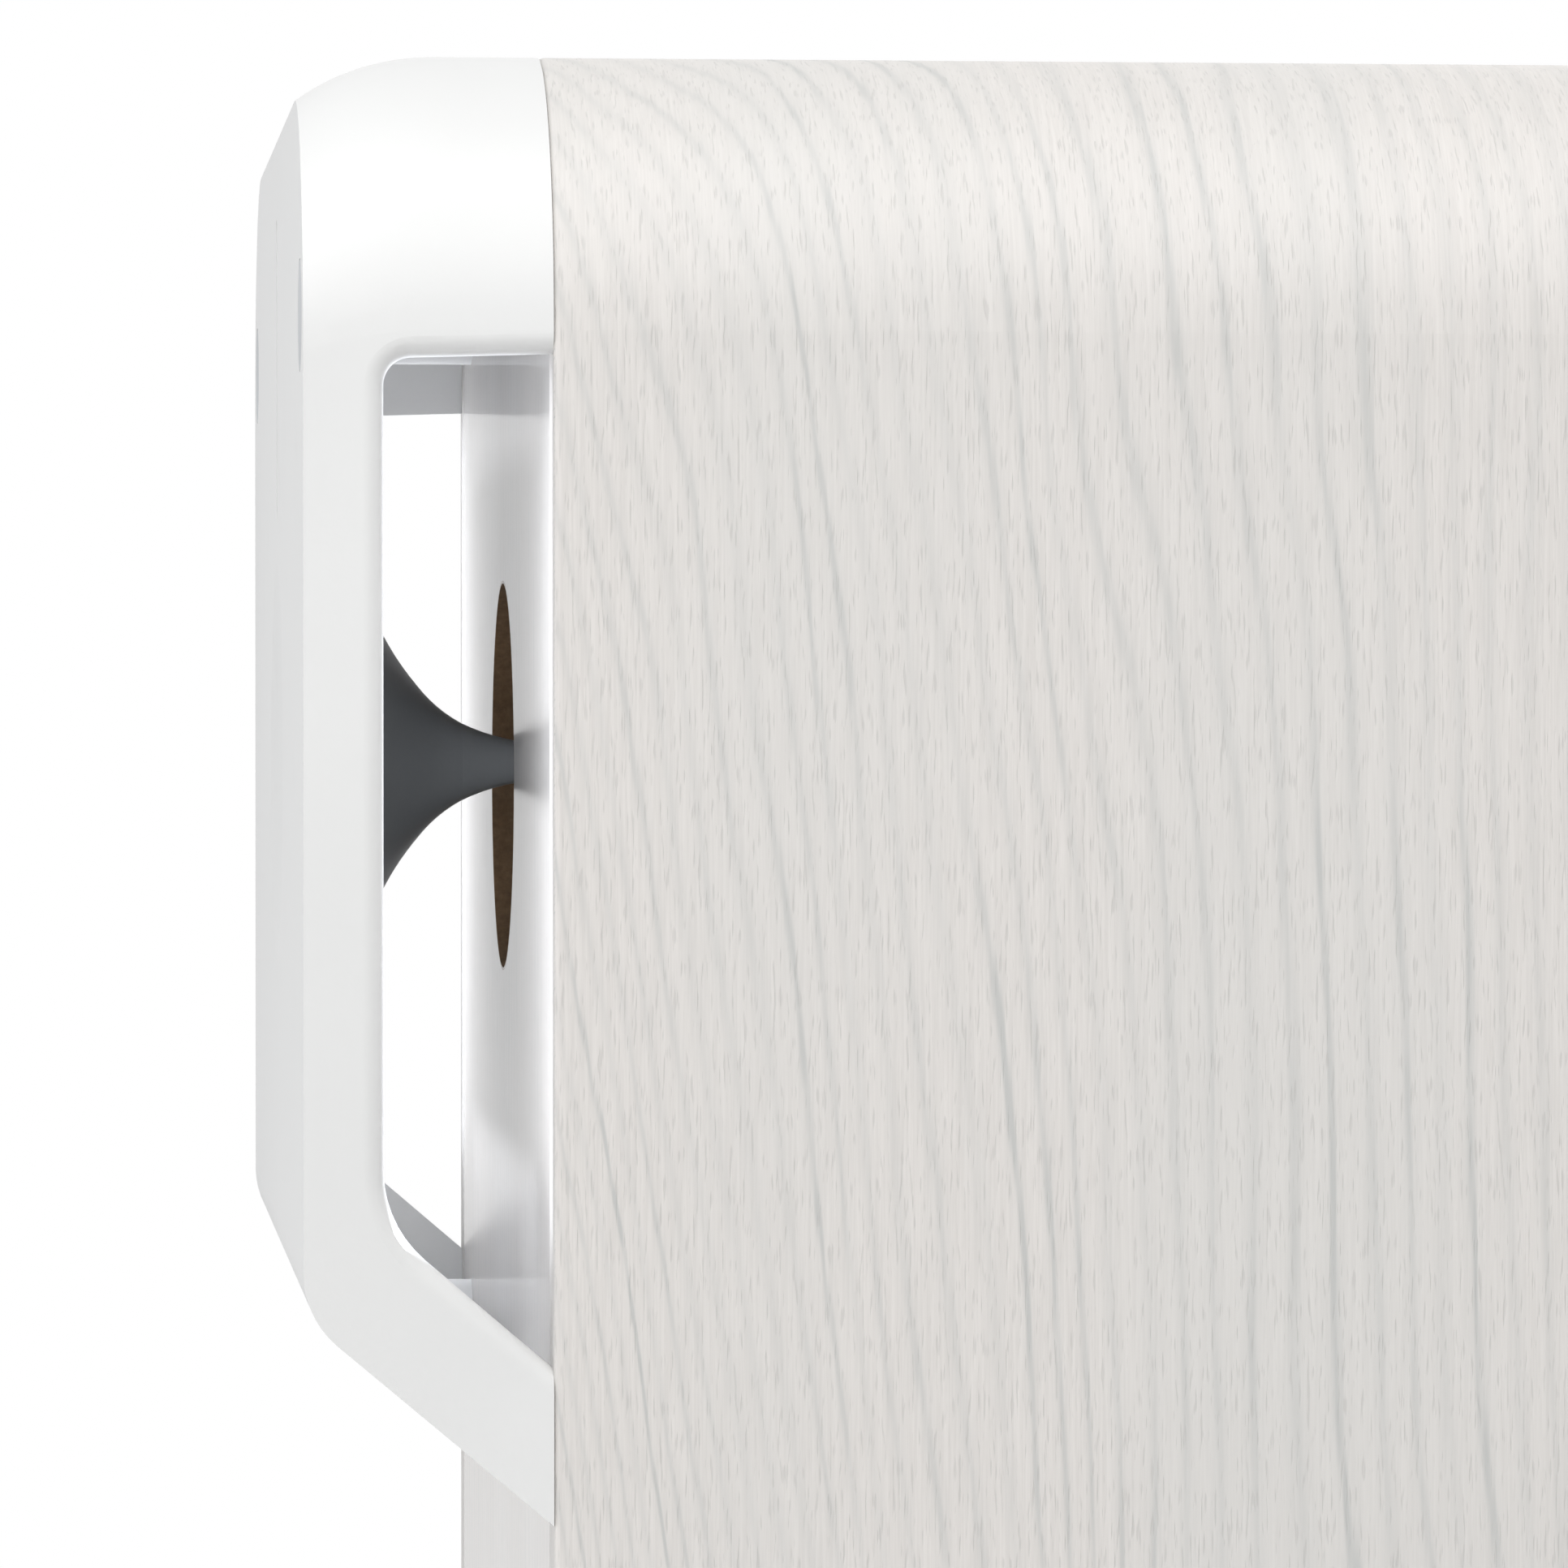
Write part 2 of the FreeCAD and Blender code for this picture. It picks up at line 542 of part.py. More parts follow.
def crown_section(body, depth, inset):
    """Rear view of the crown at one depth: it sinks toward the back face."""
    sketch = sketch_on(body, "XZ_Plane", lift="0-(%s)" % depth)
    past = "(%s-(hood_depth-hood_crown_run))" % depth
    swing = "(hood_crown_round-(%s))" % inset
    top = inset
    if value(past) > 0:
        top = "(hood_crown_round-sqrt(%s*%s-%s*%s))" % (swing, swing, past, past)
    half = "(cab_width/2-(%s))" % inset
    corner = "(cab_corner-(%s)-0.54*(%s-(%s)))" % (inset, top, inset)
    outline(sketch, [
        ("0-" + half, "0-hood_seam"), (half, "0-hood_seam"),
        (half, "0-(%s+%s)" % (top, corner), corner, 1),
        ("%s-%s" % (half, corner), "0-(%s)" % top),
        ("0-(%s-%s)" % (half, corner), "0-(%s)" % top, corner, 1),
        ("0-" + half, "0-(%s+%s)" % (top, corner)),
    ])
    return sketch


def hood_solid(name, inset, at):
    """Outer form of the hood, or of its cavity when inset from it."""
    body = new_body(name, at, export=False)
    sketch = sketch_on(body, "YZ_Plane")
    ramp_profile(sketch, inset)
    pad(body, sketch, "cab_width-2*(%s)" % inset, symmetric=True)
    half = value("cab_width/2-(%s)" % inset)

    def knee(edge, mid):
        return edge.BoundBox.XLength > half and -145 < mid.z < -115 and mid.y > 15

    dress(body, "Fillet", "hood_knee_round-(%s)" % inset, knee)
    start = "(hood_depth-hood_crown_run)"
    pad(body, crown_section(body, "0", inset), start, backward=True)
    steps = ["%s+(hood_crown_run-(%s))*%s" % (start, inset, part)
             for part in ("0", "0.25", "0.5", "0.75", "1")]
    sections = [crown_section(body, step, inset) for step in steps]
    crown = body.newObject("PartDesign::AdditiveLoft", name + "_crown")
    crown.Profile = sections[0]
    crown.Sections = sections[1:]
    DOC.recompute()
    return body


def port_hood():
    hood = hood_solid("port_hood", "0", ("0", "cab_rear_y", "cab_top_z"))
    cavity = hood_solid("hood_cavity", "hood_wall", ("0", "0", "0"))
    hollow = hood.newObject("PartDesign::Boolean", "hood_hollow")
    hollow.setObjects([cavity])
    hollow.Type = "Cut"
    DOC.recompute()
    hood_bosses(hood)
    hood_openings(hood)
    hood_back_details(hood)
    EXPORTS.append(hood)


def hood_bosses(hood):
    for drop, radius, length in (("boss_top_drop", "boss_radius", "hood_depth-hood_wall+0.2"),
                                 ("boss_low_drop", "boss_low_radius", "boss_low_length")):
        sketch = sketch_on(hood, "XZ_Plane")
        for side in "-", "":
            circle(sketch, radius, side + "boss_x", "0-" + drop)
        pad(hood, sketch, length, backward=True)
    sketch = sketch_on(hood, "XZ_Plane")
    for side in "-", "":
        for drop in ("boss_top_drop", "boss_low_drop"):
            circle(sketch, "boss_bore", side + "boss_x", "0-" + drop)
    pocket(hood, sketch, "boss_low_length-1", upward=False)


def hood_openings(hood):
    """Side openings, one prism through the full width, lips rounded outside."""
    sketch = sketch_on(hood, "YZ_Plane")
    arm = "hood_depth-open_arm"
    outline(sketch, [("0", "0-open_top_front"), ("0", "0-open_foot"), (arm, "0-open_knee"),
                     (arm, "0-open_top")])
    pocket(hood, sketch, "cab_width+10", symmetric=True)
    half = value("cab_width/2")
    arm_y = value(arm)

    def upper_corner(edge, mid):
        return abs(mid.y - arm_y) < 0.01 and abs(mid.z + value("open_top")) < 0.5 \
            and 0.5 < edge.BoundBox.XLength < 4

    def lower_corner(edge, mid):
        return abs(mid.y - arm_y) < 0.01 and abs(mid.z + value("open_knee")) < 0.5 \
            and 0.5 < edge.BoundBox.XLength < 4

    def lip(edge, mid):
        inside = -value("open_foot") - 0.01 < mid.z < -value("open_top_front") + 0.01
        return abs(abs(mid.x) - half) < 0.01 and inside and 0.05 < mid.y < arm_y + 0.01

    dress(hood, "Fillet", "open_corner", upper_corner)
    dress(hood, "Fillet", "open_knee_round", lower_corner)
    dress(hood, "Fillet", "open_lip_round", lip)


def hood_back_details(hood):
    """Shallow dish behind the cone, centre groove and bumper recesses in the back face."""
    sketch = sketch_on(hood, "YZ_Plane")
    bind(sketch, ".AttachmentOffset.Base.y", "0-cone_drop")
    outline(sketch, [
        ("hood_depth-dish_deep", "0",
         "(dish_radius*dish_radius+dish_deep*dish_deep)/(2*dish_deep)", -1),
        ("hood_depth", "dish_radius"), ("hood_depth+dish_deep", "dish_radius"),
        ("hood_depth+dish_deep", "0")])
    dish = hood.newObject("PartDesign::Groove", "port_hood_dish")
    dish.Profile = sketch
    dish.ReferenceAxis = (sketch, ["H_Axis"])
    dish.Angle = 360
    DOC.recompute()
    sketch = sketch_on(hood, "XZ_Plane", lift="0-hood_depth")
    reach = "(cone_drop-dish_radius-groove_top_drop-groove_end_gap)"
    outline(sketch, rounded("groove_width", reach, "groove_width/2-0.05", "0",
                            "0-groove_top_drop-%s/2" % reach))
    pocket(hood, sketch, "groove_deep")
    sketch = sketch_on(hood, "XZ_Plane", lift="0-hood_depth")
    for side in "-", "":
        circle(sketch, "bumper_radius+bumper_fit", side + "bumper_x", "0-bumper_drop")
    pocket(hood, sketch, "bumper_thick")


def stations(name):
    """Nodes of a profile kept in the table as stations."""
    nodes = []
    for i, (_, _, bend) in enumerate(STATIONS[name], 1):
        node = ("%s_r%d" % (name, i), "%s_y%d" % (name, i))
        nodes.append(node + ("%s_b%d" % (name, i), -1) if bend else node)
    return nodes


def diffuser_cone():
    """Trumpet-shaped cone, hollow behind, bonded by its flange inside the hood's back plate."""
    plate = "hood_depth-hood_wall"
    flange = [("cone_flange", plate + "-cone_flange_thick"), ("cone_flange", plate),
              ("cone_rim", plate)]
    turned("diffuser_cone", stations("cone_skin") + flange + stations("cone_hollow"),
           ("0", "cab_rear_y", "cone_z"))


def wall_bumpers():
    bumper = new_body("bumper_template", export=False)
    turn_profile(bumper, [("0", "0"), ("bumper_radius", "0"),
                          ("bumper_radius", "bumper_thick-bumper_edge"),
                          ("bumper_radius-bumper_edge", "bumper_thick"), ("0", "bumper_thick")])
    spots = [((side + "bumper_x", "cab_rear_y+hood_depth-bumper_thick", "cab_top_z-bumper_drop"),
              REARWARD) for side in ("-", "")]
    copies("wall_bumpers", bumper, spots)


# ---------------------------------------------------------------- terminals

def terminal_plate():
    for name, rear, thick in (("terminal_gasket", "cab_rear_y+term_gasket", "term_gasket"),
                              ("terminal_plate", "cab_rear_y+term_gasket+term_thick",
                               "term_thick")):
        body = new_body(name, ("0", rear, "term_z"), FRONTWARD)
        sketch = sketch_on(body)
        outline(sketch, rounded("term_width", "term_height", "term_corner"))
        pad(body, sketch, thick)
        sketch = sketch_on(body)
        for x, y in corners_of("term_screw_x", "term_screw_z"):
            circle(sketch, "screw_clear", x, y)
        if name == "terminal_gasket":
            outline(sketch, rounded("term_cut_width", "term_cut_height", "term_cut_corner"))
        else:
            for side in "-", "":
                circle(sketch, "post_radius+post_fit", side + "post_half_pitch", "0")
        pocket(body, sketch)
    dress(body, "Fillet", "term_edge", lambda edge, mid: abs(mid.z) < 0.01
          and edge.BoundBox.DiagonalLength > 8)


def post_stud(name, x):
    """Threaded brass stud with a banana bore and a cross hole for bare wire."""
    body = new_body(name, (x, "post_outer_y", "term_z"), FRONTWARD)
    turn_profile(body, [("banana_bore", "0"), ("post_radius-post_chamfer", "0"),
                        ("post_radius", "post_chamfer"),
                        ("post_radius", "post_length"), ("0", "post_length"),
                        ("0", "banana_depth+drill_tip"), ("banana_bore", "banana_depth")])
    sketch = sketch_on(body, "YZ_Plane")
    circle(sketch, "wire_hole", "0", "post_outer_y-wire_hole_y")
    pocket(body, sketch, "4*post_radius", symmetric=True)


def post_knob(name, x):
    body = new_body(name, (x, "knob_y", "term_z"), REARWARD)
    turn_profile(body, [("knob_bore", "0"), ("knob_radius-knob_chamfer", "0"),
                        ("knob_radius", "knob_chamfer"),
                        ("knob_radius", "knob_length-2*knob_chamfer"),
                        ("knob_radius-2*knob_chamfer", "knob_length"), ("knob_bore", "knob_length")])
    sketch = sketch_on(body)
    circle(sketch, "knob_flute", "knob_radius+knob_flute_out", "0")
    flute = pocket(body, sketch)
    polar(body, flute, KNOB_FLUTES)


def binding_posts():
    for tone, side in (("red", ""), ("black", "-")):
        x = side + "post_half_pitch"
        post_stud("post_stud_" + tone, x)
        ring("post_collar_" + tone, "post_radius+post_fit", "collar_radius", "0", "collar_thick",
             (x, "collar_y", "term_z"))
        ring("clamp_washer_" + tone, "knob_bore", "clamp_radius", "0", "clamp_thick",
             (x, "clamp_y", "term_z"))
        post_knob("post_knob_" + tone, x)


def post_hardware():
    nut = new_body("nut_template", export=False)
    sketch = sketch_on(nut)
    side = "nut_radius*0.86603"
    outline(sketch, [("nut_radius", "0"), ("nut_radius/2", side), ("0-nut_radius/2", side),
                     ("0-nut_radius", "0"), ("0-nut_radius/2", "0-" + side),
                     ("nut_radius/2", "0-" + side)])
    pad(nut, sketch, "nut_thick")
    sketch = sketch_on(nut)
    circle(sketch, "post_radius+post_fit")
    pocket(nut, sketch)
    copies("post_nuts", nut, [((side + "post_half_pitch", y, "term_z"), REARWARD)
                              for side in ("-", "") for y in ("nut_outer_y", "nut_inner_y")])
    lug = new_body("lug_template", export=False)
    sketch = sketch_on(lug)
    circle(sketch, "lug_radius")
    pad(lug, sketch, "lug_thick")
    sketch = sketch_on(lug)
    outline(sketch, [("0-lug_tail/2", "0-lug_tail_drop"), ("lug_tail/2", "0-lug_tail_drop"),
                     ("lug_tail/2", "0-lug_radius/2"), ("0-lug_tail/2", "0-lug_radius/2")])
    pad(lug, sketch, "lug_thick")
    sketch = sketch_on(lug)
    circle(sketch, "post_radius+post_fit")
    pocket(lug, sketch)
    copies("solder_lugs", lug, [((side + "post_half_pitch", "lug_y+lug_thick", "term_z"),
                                 FRONTWARD) for side in ("-", "")])


# ---------------------------------------------------------------- crossover

def crossover_board():
    body = new_body("crossover_board", ("0", "board_y", "board_z"))
    sketch = sketch_on(body)
    outline(sketch, rounded("board_width", "board_depth", "board_corner"))
    pad(body, sketch, "board_thick")
    sketch = sketch_on(body)
    for x, y in corners_of("standoff_x", "standoff_y"):
        circle(sketch, "small_shank+small_fit", x, y)
    pocket(body, sketch)


def board_mounting():
    post = new_body("standoff_template", export=False)
    turn_profile(post, [("small_shank", "0"), ("standoff_radius", "0"),
                        ("standoff_radius", "standoff_height"),
                        ("small_shank", "standoff_height")])
    screw = screw_template("small_screw_template", "small_head", "small_head_thick",
                           "small_shank", "small_screw_length")
    spots = [(x, "board_y + " + y) for x, y in corners_of("standoff_x", "standoff_y")]
    copies("board_standoffs", post, [((x, y, "floor_z"), UPRIGHT) for x, y in spots])
    copies("board_screws", screw, [((x, y, "board_top_z"), FreeCAD.Rotation(V(1, 0, 0), 180))
                                   for x, y in spots])


def inductors():
    """Bobbins and copper windings of the woofer coil and the tweeter coil."""
    sizes = (("coil_large", "coil_large_height", ("0-coil_large_x", "coil_large_y", "board_top_z")),
             ("coil_small", "coil_small_height", ("coil_small_x", "coil_small_y", "board_top_z")))
    bobbins, windings = [], []
    for size, height, spot in sizes:
        core, drum = "%s*coil_core_share" % size, "%s*coil_drum_share" % size
        bobbin = new_body("bobbin_" + size, spot, export=False)
        turn_profile(bobbin, [
            (core, "0"), (size, "0"), (size, "coil_flange"), (drum, "coil_flange"),
            (drum, height + "-coil_flange"), (size, height + "-coil_flange"),
            (size, height), (core, height)])
        winding = new_body("winding_" + size, spot, export=False)
        turn_profile(winding, [
            (drum, "coil_flange"), (size + "-coil_wire_drop", "coil_flange"),
            (size + "-coil_wire_drop", height + "-coil_flange"), (drum, height + "-coil_flange")])
        bobbins.append(bobbin)
        windings.append(winding)
    for name, members in (("inductor_bobbins", bobbins), ("inductor_windings", windings)):
        group = DOC.addObject("Part::Compound", name)
        group.Label = name
        group.Links = members
        EXPORTS.append(group)


def capacitors():
    film = new_body("film_template", export=False)
    turn_profile(film, [("0", "0"), ("film_radius-film_edge", "0"), ("film_radius", "film_edge"),
                        ("film_radius", "film_length-film_edge"), ("film_radius-film_edge", "film_length"),
                        ("0", "film_length")])
    copies("film_capacitors", film, [(("film_x", y, "board_top_z+film_radius"), ACROSS)
                                     for y in ("film_near_y", "film_far_y")])
    turned("electrolytic_capacitor",
           [("0", "0"), ("lytic_radius-lytic_edge", "0"), ("lytic_radius", "lytic_edge"),
            ("lytic_radius", "lytic_bead"), ("lytic_radius-lytic_edge", "lytic_bead+lytic_edge"),
            ("lytic_radius", "lytic_bead+2*lytic_edge"),
            ("lytic_radius", "lytic_length-lytic_edge"),
            ("lytic_radius-lytic_edge", "lytic_length"),
            ("0", "lytic_length")],
           ("0-lytic_x", "film_far_y", "board_top_z+lytic_radius"), ACROSS)


def resistors():
    body = new_body("resistors", ("resistor_x", "0", "board_top_z"))
    sketch = sketch_on(body)
    for y in "resistor_near_y", "resistor_far_y":
        outline(sketch, rounded("resistor_length", "resistor_side", "resistor_edge", "0", y))
    pad(body, sketch, "resistor_side")


# ---------------------------------------------------------------- woofer

WOOFER = ("0", "fascia_front_y", "woofer_z")
TWEETER = ("0", "fascia_front_y", "tweeter_z")


def woofer_basket():
    body = new_body("woofer_basket", WOOFER, REARWARD)
    floor = "plate_front-basket_skin"
    turn_profile(body, [
        ("basket_inner", "roll_seat"), ("basket_lip", "roll_seat"),
        ("basket_lip", "basket_lip_edge"), ("basket_lip+basket_lip_edge", "0"),
        ("woofer_flange-basket_edge", "0"), ("woofer_flange", "basket_edge"),
        ("woofer_flange", "woofer_flange_thick"), ("basket_top", "woofer_flange_thick"),
        ("basket_foot", "basket_shelf+2"), ("basket_neck", "basket_shelf+2.5"),
        ("basket_neck", floor), ("yoke_radius", floor), ("yoke_radius", "plate_front"),
        ("basket_hole", "plate_front"), ("basket_hole", floor),
        ("basket_neck-basket_skin", floor), ("basket_neck-basket_skin", "basket_shelf"),
        ("basket_foot-basket_step", "basket_shelf"),
        ("basket_inner-basket_step", "woofer_flange_thick"),
        ("basket_inner-basket_lean", "woofer_flange_thick-basket_edge")])
    sketch = sketch_on(body)
    near = "sqrt(window_inner*window_inner-window_narrow*window_narrow)"
    far = "sqrt(window_outer*window_outer-window_wide*window_wide)"
    outline(sketch, [(near, "0-window_narrow"), (far, "0-window_wide", "window_outer", 1),
                     (far, "window_wide"), (near, "window_narrow", "window_inner", -1)])
    window = pocket(body, sketch)
    polar(body, window, BASKET_WINDOWS)
    sketch = sketch_on(body)
    for x, y in corners_of("woofer_screw_circle*0.70711", "woofer_screw_circle*0.70711"):
        circle(sketch, "screw_clear", x, y)
    pocket(body, sketch)
    sketch = sketch_on(body)
    for x, y in corners_of("woofer_screw_circle*0.70711", "woofer_screw_circle*0.70711"):
        circle(sketch, "screw_head+head_fit", x, y)
    pocket(body, sketch, "screw_sink")


def woofer_motor():
    ring("woofer_top_plate", "plate_bore", "plate_radius", "plate_front", "plate_thick", WOOFER)
    ring("woofer_magnet", "magnet_bore", "magnet_radius", "plate_front+plate_thick",
         "magnet_thick", WOOFER)
    back = "plate_front+plate_thick+magnet_thick"
    turned("woofer_yoke",
           [("vent_radius", "plate_front-1"), ("pole_radius-0.8", "plate_front-1"),
            ("pole_radius", "plate_front-0.2"), ("pole_radius", back), ("yoke_radius", back),
            ("yoke_radius", back + "+yoke_thick-1"), ("yoke_radius-1", back + "+yoke_thick"),
            ("vent_radius+2", back + "+yoke_thick"), ("vent_radius", back + "+yoke_thick-2")],
           WOOFER)


def woofer_moving_parts():
    """Cone, dust cap, surround, spider and voice coil, at rest."""
    rim = "roll_seat+cone_paper"
    turned("woofer_cone",
           [("former_outer", "woofer_cone_back"),
            ("former_outer", "woofer_cone_back-cone_paper", "150", 1),
            ("woofer_cone_edge-2.5", "roll_seat"), ("woofer_cone_edge", "roll_seat"),
            ("woofer_cone_edge", rim), ("woofer_cone_edge-2.2", rim, "151", -1)], WOOFER)
    apex, edge = "cap_front", "cap_front+cap_rise"
    turned("woofer_dust_cap",
           [("0", apex + "+cap_skin"), ("0", apex, "cap_sphere", 1), ("cap_radius", edge),
            ("cap_radius", edge + "+cap_skin*1.2", "cap_sphere", -1)], WOOFER)
    seat = "roll_seat"
    turned("woofer_surround",
           [("woofer_cone_edge-2.4", seat + "-roll_skin"),
            ("roll_mid-roll_radius", seat + "-roll_skin", "roll_radius*1.02", 1),
            ("roll_mid+roll_radius", seat + "-roll_skin"), ("66.8", seat + "-roll_skin"),
            ("66.8", seat),
            ("roll_mid+roll_radius-roll_skin", seat, "(roll_radius-roll_skin)*1.02", -1),
            ("roll_mid-roll_radius+roll_skin", seat), ("woofer_cone_edge-2.4", seat)], WOOFER)
    spider_disc()
    turned("voice_coil",
           [("coil_inner", "former_front"), ("former_outer", "former_front"),
            ("former_outer", "winding_front"), ("coil_outer", "winding_front"),
            ("coil_outer", "former_back"), ("coil_inner", "former_back")], WOOFER)


def spider_disc():
    """Corrugated suspension disc between the voice coil and the basket shelf."""
    waves = ("former_outer", "16", "20", "24", "28", "32")
    front, back = "spider_s", "spider_s+spider_skin"
    last = len(waves) - 1
    nodes = [(waves[i], front, "2.9", -1 if i % 2 else 1) for i in range(last)]
    nodes += [(waves[last], front), ("spider_outer", front), ("spider_outer", back)]
    nodes += [(waves[i], back, "2.9", 1 if i % 2 == 0 else -1) for i in range(last, 0, -1)]
    nodes += [(waves[0], back)]
    turned("woofer_spider", nodes, WOOFER)


# ---------------------------------------------------------------- tweeter

def tweeter_faceplate():
    body = new_body("tweeter_faceplate", TWEETER, REARWARD)
    turn_profile(body, [
        ("throat_radius", "tweeter_plate_thick", "14", 1), ("guide_radius", "0"),
        ("tweeter_plate-0.8", "0"), ("tweeter_plate", "0.8"),
        ("tweeter_plate", "tweeter_plate_thick"),
        ("tweeter_top_radius", "tweeter_plate_thick"), ("tweeter_top_radius", "tweeter_top"),
        ("20", "tweeter_top"), ("20", "tweeter_top-0.4"), ("throat_radius", "tweeter_top-0.4")])
    sketch = sketch_on(body)
    reach = "tweeter_screw_circle*0.70711"
    for x, y in corners_of(reach, reach):
        circle(sketch, "screw_clear", x, y)
    pocket(body, sketch)
    sketch = sketch_on(body)
    for x, y in corners_of(reach, reach):
        circle(sketch, "screw_head+head_fit", x, y)
    pocket(body, sketch, "screw_sink")


def tweeter_motor():
    ring("tweeter_top_plate", "tweeter_gap", "tweeter_top_radius", "tweeter_top",
         "tweeter_top_thick", TWEETER)
    ring("tweeter_magnet", "tweeter_magnet_bore", "tweeter_magnet",
         "tweeter_top+tweeter_top_thick", "tweeter_magnet_thick", TWEETER)
    back = "tweeter_top+tweeter_top_thick+tweeter_magnet_thick"
    turned("tweeter_yoke",
           [("0", "tweeter_top+0.6"), ("tweeter_pole", "tweeter_top+0.6"),
            ("tweeter_pole", back), ("tweeter_top_radius", back),
            ("tweeter_top_radius", back + "+tweeter_yoke_thick"),
            ("0", back + "+tweeter_yoke_thick")], TWEETER)


def tweeter_moving_parts():
    turned("tweeter_dome",
           [("0", "1.5+dome_skin"), ("0", "1.5", "20.7", 1), ("dome_radius", "dome_base"),
            ("dome_radius", "dome_base+dome_skin", "20.7", -1)], TWEETER)
    seat = "tweeter_top-0.4"
    turned("tweeter_surround",
           [("dome_radius", seat + "+0.1"),
            ("dome_radius+0.3", seat, "1.4", 1), ("15.3", seat), ("19.8", seat),
            ("19.8", "tweeter_top"), ("15.6", "tweeter_top", "1.65", -1),
            ("dome_radius+0.6", "tweeter_top"), ("dome_radius", "tweeter_top")], TWEETER)
    ring("tweeter_coil", "tweeter_coil_inner", "tweeter_coil_outer", "dome_base+dome_skin",
         "4.5", TWEETER)


# ---------------------------------------------------------------- fasteners and tabs

def fasteners():
    screw = screw_template("screw_template", "screw_head", "screw_head_thick", "screw_shank",
                           "screw_length")
    spots = []
    for middle, circle_size in (("woofer_z", "woofer_screw_circle"),
                                ("tweeter_z", "tweeter_screw_circle")):
        reach = circle_size + "*0.70711"
        spots += [((x, "fascia_front_y+screw_sink", middle + " + " + z), REARWARD)
                  for x, z in corners_of(reach, reach)]
    spots += [((x, "collar_y", "term_z + " + z), FRONTWARD)
              for x, z in corners_of("term_screw_x", "term_screw_z")]
    copies("panel_screws", screw, spots)
    long_screw = screw_template("long_screw_template", "screw_head", "screw_head_thick",
                                "boss_bore", "long_screw_length")
    copies("hood_screws", long_screw,
           [((side + "boss_x", "rear_inner_y", "cab_top_z-" + drop), REARWARD)
            for side in ("-", "") for drop in ("boss_top_drop", "boss_low_drop")])


def driver_tabs():
    """Solder tabs: two under the woofer neck, two behind the tweeter yoke."""
    body = new_body("driver_tabs")
    sketch = sketch_on(body, "XY_Plane", "woofer_z-woofer_tab_drop")
    for side in "-", "":
        outline(sketch, rounded("tab_width", "tab_thick", "tab_thick/4", side + "tab_x",
                                "fascia_front_y+woofer_tab_s"))
    pad(body, sketch, "woofer_tab_reach")
    sketch = sketch_on(body, "XZ_Plane", "0-(fascia_front_y+tweeter_tab_s)")
    for side, drop in (("", "tweeter_tab_low"), ("-", "tweeter_tab_high")):
        outline(sketch, rounded("tab_width", "tab_thick", "tab_thick/4", side + "tab_x",
                                "tweeter_z-" + drop))
    pad(body, sketch, "tweeter_tab_reach", backward=True)


# ---------------------------------------------------------------- grille

def grille_frame():
    body = new_body("grille_frame", ("0", "grille_back_y", "cab_mid_z"), FRONTWARD)
    sketch = sketch_on(body)
    outline(sketch, rounded("grille_width", "grille_height", "grille_corner"))
    pad(body, sketch, "grille_thick")
    middle = "(grille_cross_z-cab_mid_z)"
    half = "(grille_height/2-grille_bar)"
    inner = "grille_width-2*grille_bar"
    upper = "(%s-%s-grille_cross/2)" % (half, middle)
    lower = "(%s+%s-grille_cross/2)" % (half, middle)
    sketch = sketch_on(body)
    outline(sketch, rounded(inner, upper, "16", "0", "%s-%s/2" % (half, upper)))
    outline(sketch, rounded(inner, lower, "16", "0", "0-%s+%s/2" % (half, lower)))
    pocket(body, sketch)
    sketch = sketch_on(body)
    for sign in "-", "":
        for height in ("magnet_top_z", "magnet_low_z"):
            circle(sketch, "magnet_disc+0.05", sign + "magnet_x", height + "-cab_mid_z")
    pocket(body, sketch, "magnet_disc_thick-0.5")


def grille_cloth():
    body = new_body("grille_cloth", ("0", "grille_back_y-grille_thick-cloth_thick",
                                     "cab_mid_z"), REARWARD)
    sketch = sketch_on(body)
    outline(sketch, rounded("grille_width+2*cloth_thick", "grille_height+2*cloth_thick",
                            "grille_corner+cloth_thick"))
    pad(body, sketch, "cloth_wrap")
    sketch = sketch_on(body, lift="cloth_thick")
    outline(sketch, rounded("grille_width", "grille_height", "grille_corner"))
    pocket(body, sketch)


def grille_holders():
    """Magnets in the grille frame and steel keepers behind the fascia."""
    magnet = new_body("magnet_template", export=False)
    turn_profile(magnet, [("0", "0"), ("magnet_disc", "0"), ("magnet_disc", "magnet_disc_thick"),
                          ("0", "magnet_disc_thick")])
    keeper = new_body("keeper_template", export=False)
    turn_profile(keeper, [("0", "0"), ("keeper_radius", "0"), ("keeper_radius", "keeper_thick"),
                          ("0", "keeper_thick")])
    spots = [(sign + "magnet_x", z) for sign in ("-", "") for z in ("magnet_top_z",
                                                                   "magnet_low_z")]
    copies("grille_magnets", magnet, [((x, "grille_back_y+0.5", z), FRONTWARD)
                                      for x, z in spots])
    copies("steel_keepers", keeper, [((x, "cab_front_y", z), REARWARD) for x, z in spots])


# ---------------------------------------------------------------- internal wiring

def bent_path(points):
    """Straight runs joined by tangent arcs, each using up 0.45 of its shorter run."""
    runs = [points[i + 1] - points[i] for i in range(len(points) - 1)]
    pieces = []
    here = points[0]
    for corner, into, out in zip(points[1:-1], runs[:-1], runs[1:]):
        trim = ARC_SHARE * min(into.Length, out.Length)
        radius = trim / math.tan(into.getAngle(out) / 2)
        into, out = V(into).normalize(), V(out).normalize()
        start, end = corner - into * trim, corner + out * trim
        inward = (out - into).normalize()
        centre = corner + inward * math.hypot(radius, trim)
        pieces.append(Part.makeLine(here, start))
        pieces.append(Part.Arc(start, centre - inward * radius, end).toShape())
        here = end
    pieces.append(Part.makeLine(here, points[-1]))
    return Part.Wire(pieces)


